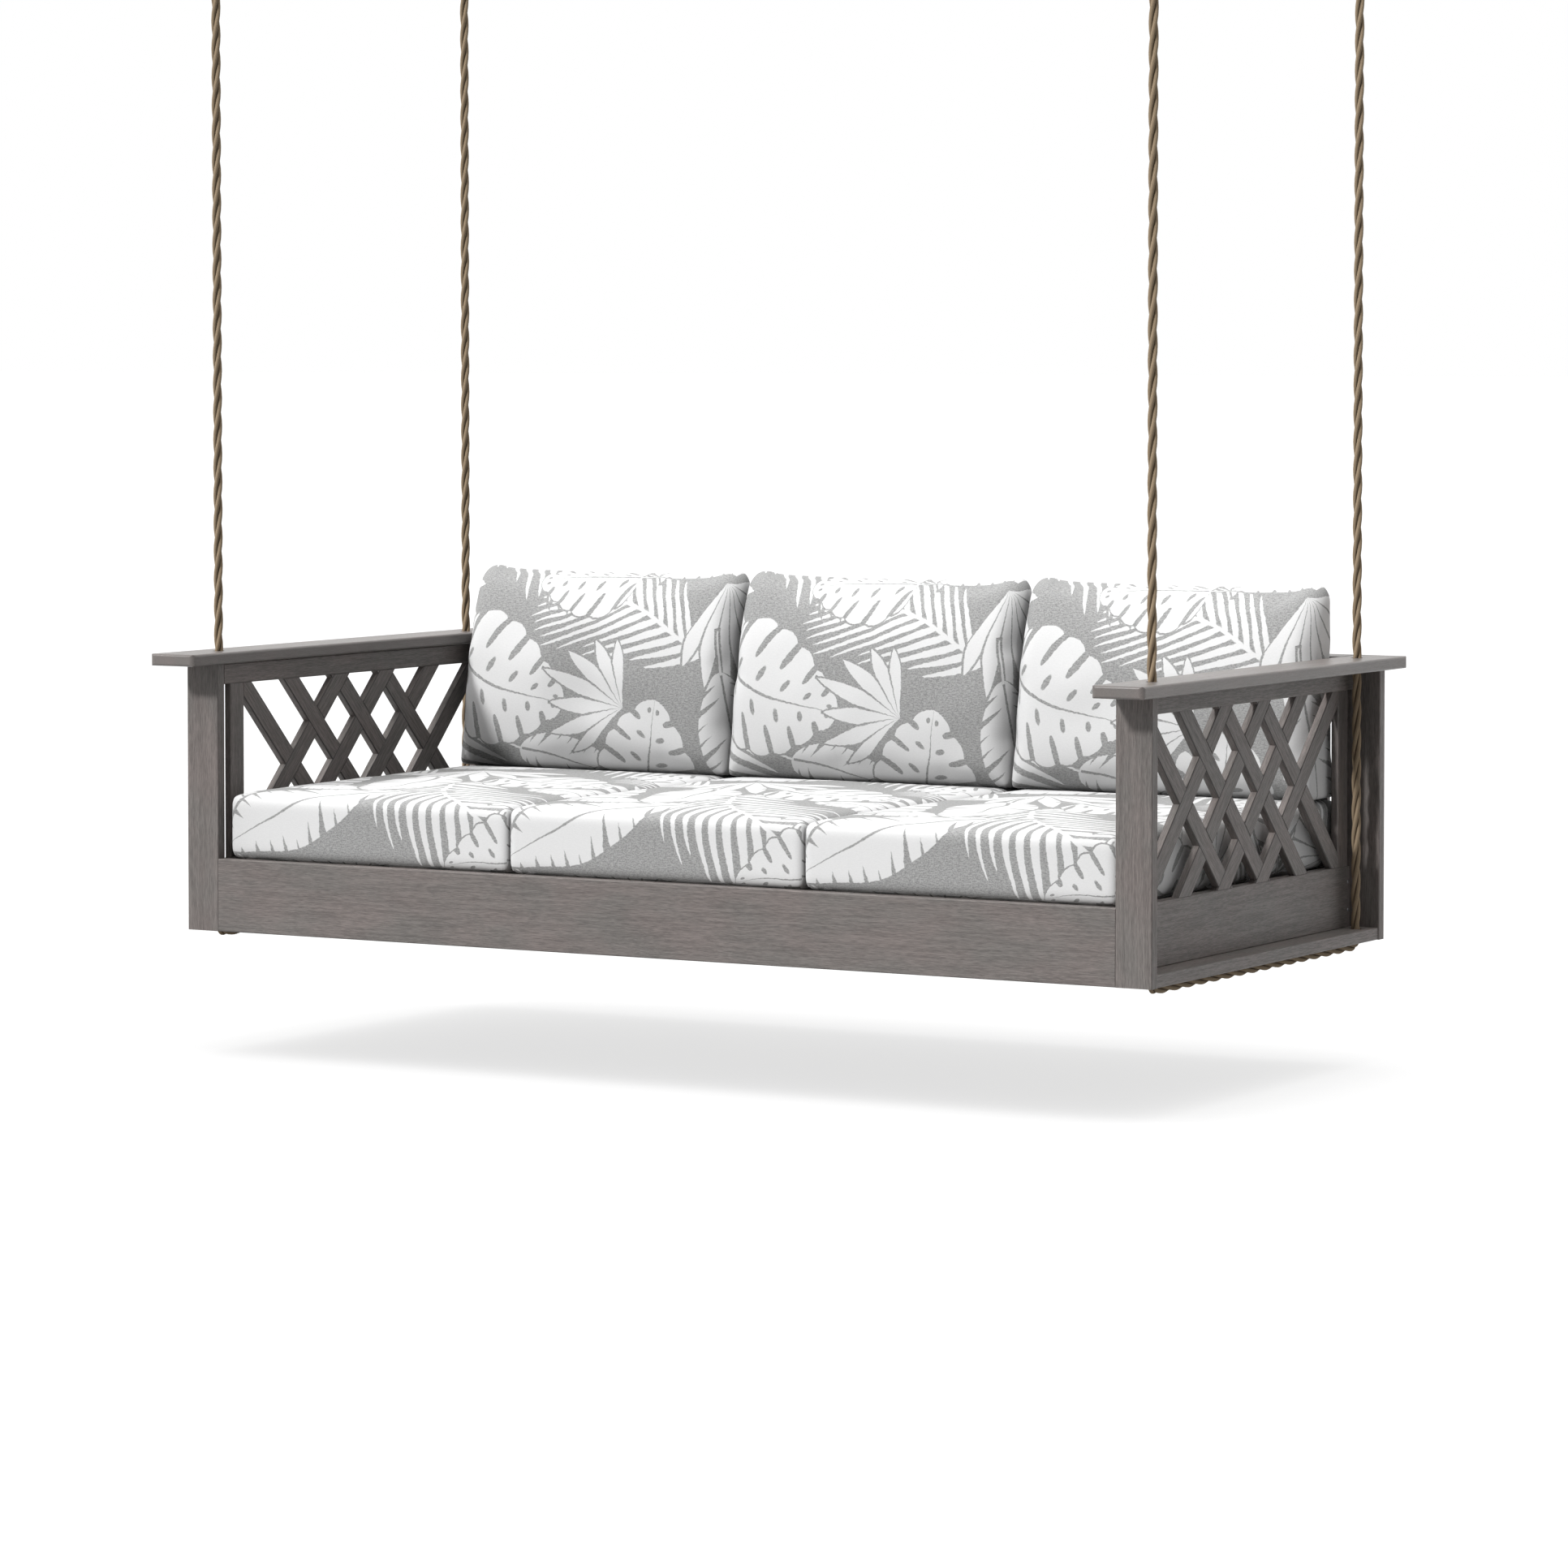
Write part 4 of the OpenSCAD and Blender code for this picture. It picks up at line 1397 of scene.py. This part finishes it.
@dataclass
class Cushion:
    """A stuffed form, worked out flat and then set in place.

    The flat frame has A and B across the showing face and T through the cushion, with
    the showing face at +T. Sub-classes place it in the bed.
    """

    seat: Seat
    finish: bpy.types.Material
    half_a: float
    half_b: float
    half_t: float
    corner: float
    foot_corner: float
    edge: float
    crown: float
    full_half: float
    clear_half: float = 345.2 * MM
    roll: float = 1.0
    cell: float = 12 * MM
    pressure: float = 4.0
    frames: int = 20
    cap: float = 8 * MM
    uneven: float = 1.0 * MM
    seed: int = 71
    waves: Triple = (210.0, 150.0, 110.0)
    wave_turns: int = 3
    wave_share: float = 0.25
    fullness: tuple[float, float] = (2.5, 2.5)
    edge_limit: float = 0.97
    draw_in: float = 0.15
    fill: float = 0.85
    middle: float = 691.0 * MM

    COVER = {
        "quality": 5,
        "mass": 0.25,
        "tension_stiffness": 18.0,
        "compression_stiffness": 10.0,
        "shear_stiffness": 6.0,
        "bending_stiffness": 0.6,
        "shrink_min": -0.012,
        "use_pressure": True,
    }

    @property
    def centre(self) -> float:
        """Give the X of the cushion's middle."""
        return self.seat.value * self.middle

    @property
    def halves(self) -> np.ndarray:
        """Give half the size of the showing face."""
        return np.array([self.half_a, self.half_b])

    def grid(self, name: str) -> bpy.types.Object:
        """Make a box of even cells, in the flat frame.

        Args:
            name: The piece's name.

        Returns:
            The box.
        """
        bpy.ops.mesh.primitive_cube_add(size=2.0, location=(0, 0, 0))
        made = bpy.context.active_object
        made.name = name
        made.scale = halves = (self.half_a, self.half_b, self.half_t)
        bpy.ops.object.transform_apply(location=False, rotation=False, scale=True)
        with edit_mode():
            bpy.ops.mesh.select_mode(type="EDGE")
            for axis, half in enumerate(halves):
                select_parts(
                    made.data,
                    "edges",
                    lambda line: abs((line.verts[1].co - line.verts[0].co)[axis]) > 0.5 * half,
                )
                bpy.ops.mesh.subdivide(number_cuts=max(3, round(2 * half / self.cell)) - 1)
            bpy.ops.mesh.select_mode(type="VERT")
        return made

    def panel_map(self, piece: bpy.types.Object) -> None:
        """Lay the cloth's own coordinates over the box, so the print turns its edges.

        Args:
            piece: The cushion's box.
        """
        data = piece.data
        layer = data.uv_layers[0]
        layer.name = "panel"
        for face in data.polygons:
            axis = max(range(3), key=lambda k: abs(face.normal[k]))
            sign_of = 1.0 if face.normal[axis] > 0 else -1.0
            for loop in face.loop_indices:
                a, b, t = data.vertices[data.loops[loop].vertex_index].co
                down = self.half_t - t
                if axis == 0:
                    a = sign_of * (self.half_a + down)
                elif axis == 1:
                    b = sign_of * (self.half_b + down)
                elif sign_of < 0:
                    a += 4 * self.half_a
                layer.data[loop].uv = (a, b)

    def outline(self, flat: np.ndarray) -> tuple[np.ndarray, np.ndarray, np.ndarray]:
        """Round the box's corners in plan.

        Args:
            flat: The box's points, in the flat frame.

        Returns:
            The points' plan, how far each lies inside the outline, and the outline's
            normal there.
        """
        plan = flat[:, :2].copy()
        corner = np.where(plan[:, 1] < 0, self.foot_corner, self.corner)
        core = np.clip(plan, corner[:, None] - self.halves, self.halves - corner[:, None])
        off = plan - core
        in_corner = (np.abs(off) > TINY).all(1)
        length = np.maximum(np.linalg.norm(off, axis=1), TINY)
        off = off * np.where(in_corner, np.abs(off).max(1) / length, 1.0)[:, None]
        plan = core + off
        length = np.linalg.norm(off, axis=1)
        gaps = self.halves - np.abs(plan)
        rows, nearest = np.arange(len(plan)), gaps.argmin(1)
        inward = np.where(in_corner, corner - length, gaps.min(1))
        normal = np.zeros_like(plan)
        normal[rows, nearest] = np.sign(plan[rows, nearest])
        normal[in_corner] = off[in_corner] / np.maximum(length[in_corner], TINY)[:, None]
        return plan, inward, normal

    def rounded(self, flat: np.ndarray) -> np.ndarray:
        """Round the box's corners in plan and its edges in section.

        Args:
            flat: The box's points, in the flat frame.

        Returns:
            The points of the rounded form.
        """
        plan, inward, normal = self.outline(flat)
        section = self.section(plan)
        deep = flat[:, 2] / self.half_t * section
        radius = np.minimum(self.edge_radius(plan), self.edge_limit * section)
        reach = radius * self.roll
        out = np.maximum(reach - inward, 0.0)
        up = np.maximum(np.abs(deep) - (section - radius), 0.0)
        long = np.hypot(out / reach, up / radius)
        shrink = np.where(out > 0, 1.0 / np.maximum(long, TINY), 1.0)
        moved = plan - normal * out[:, None] + normal * (out * shrink)[:, None]
        rolled = np.sign(deep) * (np.minimum(np.abs(deep), section - radius) + up * shrink)
        return np.column_stack([moved, np.where(out > 0, rolled, deep)])

    def edge_radius(self, plan: np.ndarray) -> np.ndarray:
        """Give the radius of the edge's rounding at each point of the plan."""
        return np.full(len(plan), self.edge)

    def dents(self, plan: np.ndarray) -> np.ndarray:
        """Give the soft, uneven rise of the filling at each point of the plan.

        Args:
            plan: The points' plan.

        Returns:
            The rise at each point.
        """
        random = np.random.default_rng(self.seed + self.seat.value)
        rise = np.zeros(len(plan))
        for wave in self.waves:
            for _ in range(self.wave_turns):
                turn, phase = random.uniform(0.0, TURN, 2)
                along = plan @ np.array([math.cos(turn), math.sin(turn)])
                rise += np.sin(TURN * along / (wave * MM) + phase) * wave / self.waves[-1]
        return rise * self.uneven * self.wave_share

    def half_at(self, plan: np.ndarray) -> np.ndarray:
        """Give the plain half thickness at each point of the plan."""
        return np.full(len(plan), self.half_t)

    def section(self, plan: np.ndarray) -> np.ndarray:
        """Give the half thickness at each point of the plan, with the filling's swell."""
        bulge = (1 - (np.abs(plan) / self.halves) ** self.fullness).prod(1)
        return self.half_at(plan) + (self.crown + self.dents(plan)) * bulge

    def place(self, flat: np.ndarray) -> np.ndarray:
        """Set points of the flat frame in the bed."""
        raise NotImplementedError

    def box(self, points: np.ndarray) -> tuple[np.ndarray, np.ndarray]:
        """Give the lowest and highest corners that the stuffed form fills."""
        raise NotImplementedError

    def keep_in(self, points: np.ndarray) -> np.ndarray:
        """Keep the cushion's points clear of its neighbours.

        Args:
            points: The cushion's points.

        Returns:
            The points, moved where they have to be.
        """
        made = points.copy()
        low, high = self.centre - self.clear_half, self.centre + self.clear_half
        made[:, 0] = np.clip(made[:, 0], low, high)
        return made

    def refill(self, points: np.ndarray) -> np.ndarray:
        """Stretch the form to its box again, because the cover drew its sides in."""
        low, high = points.min(0), points.max(0)
        want_low, want_high = self.box(points)
        return want_low + (points - low) / (high - low) * (want_high - want_low)

    def inflate(self, piece: bpy.types.Object) -> None:
        """Swell the cover as cloth over its filling, and cap how far it moves.

        Args:
            piece: The cushion.
        """
        start = read_points(piece)
        cloth = piece.modifiers.new("cover", "CLOTH")
        for key, value in self.COVER.items():
            setattr(cloth.settings, key, value)
        cloth.settings.uniform_pressure_force = self.pressure
        cloth.settings.effector_weights.gravity = 0.0
        cloth.collision_settings.use_collision = False
        cloth.point_cache.frame_start = 1
        cloth.point_cache.frame_end = self.frames
        scene = bpy.context.scene
        for frame in range(1, self.frames + 1):
            scene.frame_set(frame)
        apply_modifier(piece, cloth)
        scene.frame_set(1)
        with edit_mode():
            bpy.ops.mesh.select_all(action="SELECT")
            bpy.ops.mesh.vertices_smooth(factor=0.5, repeat=3)
        moved = read_points(piece) - start
        inwards = moved[:, 0] * (start[:, 0] - self.centre) < 0
        moved[:, 0] *= np.where(inwards, self.draw_in, 1.0)
        length = np.linalg.norm(moved, axis=1)
        allowed = self.cap * np.tanh(length / self.cap)
        moved *= (allowed / np.maximum(length, TINY))[:, None]
        write_points(piece, start + moved)

    def build(self, name: str, node: str, body: str) -> None:
        """Make the cushion.

        Args:
            name: The piece's name.
            node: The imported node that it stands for.
            body: The body that it rides on.
        """
        piece = self.grid(name)
        self.panel_map(piece)
        write_points(piece, self.place(self.rounded(read_points(piece))))
        face_outwards(piece)
        self.inflate(piece)
        write_points(piece, self.keep_in(self.refill(read_points(piece))))
        finer = piece.modifiers.new("finer", "SUBSURF")
        finer.levels = finer.render_levels = 1
        apply_modifier(piece, finer)
        piece.data.shade_smooth()
        dress(piece, self.finish)
        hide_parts(node)
        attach(piece, body)
        LOG.info("%s: %d faces", name, len(piece.data.polygons))


@dataclass
class SeatCushion(Cushion):
    """A deep box cushion whose soft front edge rolls over the rail."""

    half_a: float = 344.5 * MM
    half_b: float = 513.0 * MM
    half_t: float = 73.0 * MM
    corner: float = 14 * MM
    foot_corner: float = 14 * MM
    edge: float = 22 * MM
    crown: float = 3.0 * MM
    uneven: float = 0.7 * MM
    base: float = 140.6 * MM
    sag: float = 1.5 * MM
    full_half: float = 345.8 * MM
    full_reach: float = 514.6 * MM
    full_top: float = 298 * MM
    clear_reach: float = 513.8 * MM
    clear_front: float = 516.5 * MM
    over_rail: float = 2 * MM
    clear_top: float = 302 * MM
    back_foot: float = 330 * MM
    under_back: float = 292.1 * MM

    def place(self, flat: np.ndarray) -> np.ndarray:
        """Set points of the flat frame on the seat deck."""
        return flat + np.array([self.centre, 0.0, height(self.base + self.half_t)])

    def box(self, points: np.ndarray) -> tuple[np.ndarray, np.ndarray]:
        """Give the lowest and highest corners that the stuffed form fills.

        Args:
            points: The cushion's points.

        Returns:
            The two corners.
        """
        top = min(points[:, 2].max(), height(self.full_top))
        base = height(self.base - self.sag)
        low = np.array([self.centre - self.full_half, -self.full_reach, base])
        return low, np.array([self.centre + self.full_half, self.full_reach, top])

    def keep_in(self, points: np.ndarray) -> np.ndarray:
        """Keep it on the deck, between its neighbours and behind the rail.

        Args:
            points: The cushion's points.

        Returns:
            The points, moved where they have to be.
        """
        made = super().keep_in(points)
        behind_rail = made[:, 2] < height(RAIL_TOP + self.over_rail)
        front = -np.where(behind_rail, self.clear_reach, self.clear_front)
        made[:, 1] = np.clip(made[:, 1], front, self.clear_reach)
        covered = made[:, 1] > self.back_foot
        top = np.where(covered, height(self.under_back), height(self.clear_top))
        made[:, 2] = np.clip(made[:, 2], height(self.base), top)
        return made


@dataclass
class BackCushion(Cushion):
    """A plump back cushion against the cap, upright at its foot and thinner towards its top."""

    half_a: float = 344.0 * MM
    half_b: float = 222.0 * MM
    half_t: float = 76.0 * MM
    corner: float = 52 * MM
    foot_corner: float = 14 * MM
    edge: float = 40 * MM
    foot_edge: float = 24 * MM
    roll: float = 1.15
    crown: float = 8 * MM
    dip: float = 6 * MM
    cell: float = 11 * MM
    cap: float = 14 * MM
    uneven: float = 1.6 * MM
    fill: float = 0.8
    base: float = 292.9 * MM
    sag: float = 5 * MM
    foot: float = 352.0 * MM
    back: float = 503.0 * MM
    lean: float = 96.0 * MM
    belly: float = 2.8
    fullness: tuple[float, float] = (2.2, 2.6)
    full_half: float = 346.2 * MM
    full_rise: float = 441 * MM
    clear_rise: float = 452 * MM
    cap_face: float = 504.0 * MM
    over_cap: float = 6 * MM
    clear_back: float = 516.0 * MM

    def span(self, rise: np.ndarray) -> tuple[np.ndarray, np.ndarray]:
        """Give the front and back faces' Y at a rise above the seat."""
        share = np.clip(rise / (2 * self.half_b), 0.0, 1.0)
        front = self.foot + self.lean * share**self.belly
        return front, np.full_like(front, self.back)

    def half_at(self, plan: np.ndarray) -> np.ndarray:
        """Give the plain half thickness at each point of the plan."""
        front, back = self.span(plan[:, 1] + self.half_b)
        return (back - front) / 2

    def edge_radius(self, plan: np.ndarray) -> np.ndarray:
        """Give the radius of the edge's rounding, which is tighter at the foot."""
        rise = np.clip((plan[:, 1] + self.half_b) / (0.5 * self.half_b), 0.0, 1.0)
        return self.foot_edge + (self.edge - self.foot_edge) * rise * rise * (3 - 2 * rise)

    def place(self, flat: np.ndarray) -> np.ndarray:
        """Stand points of the flat frame on the seat.

        Args:
            flat: The points, in the flat frame.

        Returns:
            The points, in the frame of the bed.
        """
        share = flat[:, :2] / self.halves
        rise = flat[:, 1] + self.half_b
        rise -= self.dip * (1 - share[:, 0] ** 2) * np.clip(share[:, 1], 0.0, 1.0) ** 3
        front, back = self.span(rise)
        y = (front + back) / 2 - flat[:, 2]
        return np.column_stack([flat[:, 0] + self.centre, y, height(self.base) + rise])

    def box(self, points: np.ndarray) -> tuple[np.ndarray, np.ndarray]:
        """Give the lowest and highest corners that the stuffed form fills.

        Args:
            points: The cushion's points.

        Returns:
            The two corners.
        """
        front, back = points[:, 1].min(), points[:, 1].max()
        low = np.array([self.centre - self.full_half, front, height(self.base - self.sag)])
        top = height(self.base + self.full_rise)
        return low, np.array([self.centre + self.full_half, back, top])

    def keep_in(self, points: np.ndarray) -> np.ndarray:
        """Keep it on the seat, between its neighbours and in front of the cap.

        Args:
            points: The cushion's points.

        Returns:
            The points, moved where they have to be.
        """
        made = super().keep_in(points)
        beside_cap = made[:, 2] < height(ARM_TOP + self.over_cap)
        clear = np.where(beside_cap, self.cap_face, self.clear_back)
        made[:, 1] = np.minimum(made[:, 1], clear)
        made[:, 2] = np.clip(made[:, 2], height(self.base), height(self.base + self.clear_rise))
        return made


class Cushions:
    """The three seat cushions and the three back cushions."""

    SEAT_PRINT = (0.0, 0.55)
    BACK_PRINT = (0.3, 0.55)

    def __init__(self, groups: Groups) -> None:
        """Build the two cloths, each with its own part of the print."""
        self.seat_cloth = PrintedCloth("seat cloth", self.SEAT_PRINT).material(groups)
        self.back_cloth = PrintedCloth("back cloth", self.BACK_PRINT).material(groups)

    def build(self) -> None:
        """Make every cushion."""
        for seat in Seat:
            on_seat = SeatCushion(seat, self.seat_cloth)
            on_seat.build(
                f"printed_seat_{seat.label}", f"seat_cushion_{seat.label}", f"seat_{seat.label}"
            )
            behind = BackCushion(seat, self.back_cloth)
            behind.build(
                f"printed_back_{seat.label}", f"back_cushion_{seat.label}", f"backrest_{seat.label}"
            )


# ---------------------------------------------------------------- main


def main() -> None:
    """Build the looks round the frame."""
    logging.basicConfig(level=logging.INFO, format="%(name)s: %(message)s")
    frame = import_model()
    groups = Groups()
    Studio().build()
    rope = Rope().material()
    for side in Side:
        RopeSide(side, rope).build()
    zinc = Joinery(groups, frame["nodes"]).build()
    SpacerScrews(zinc).build()
    Cushions(groups).build()


if __name__ == "__main__":
    main()
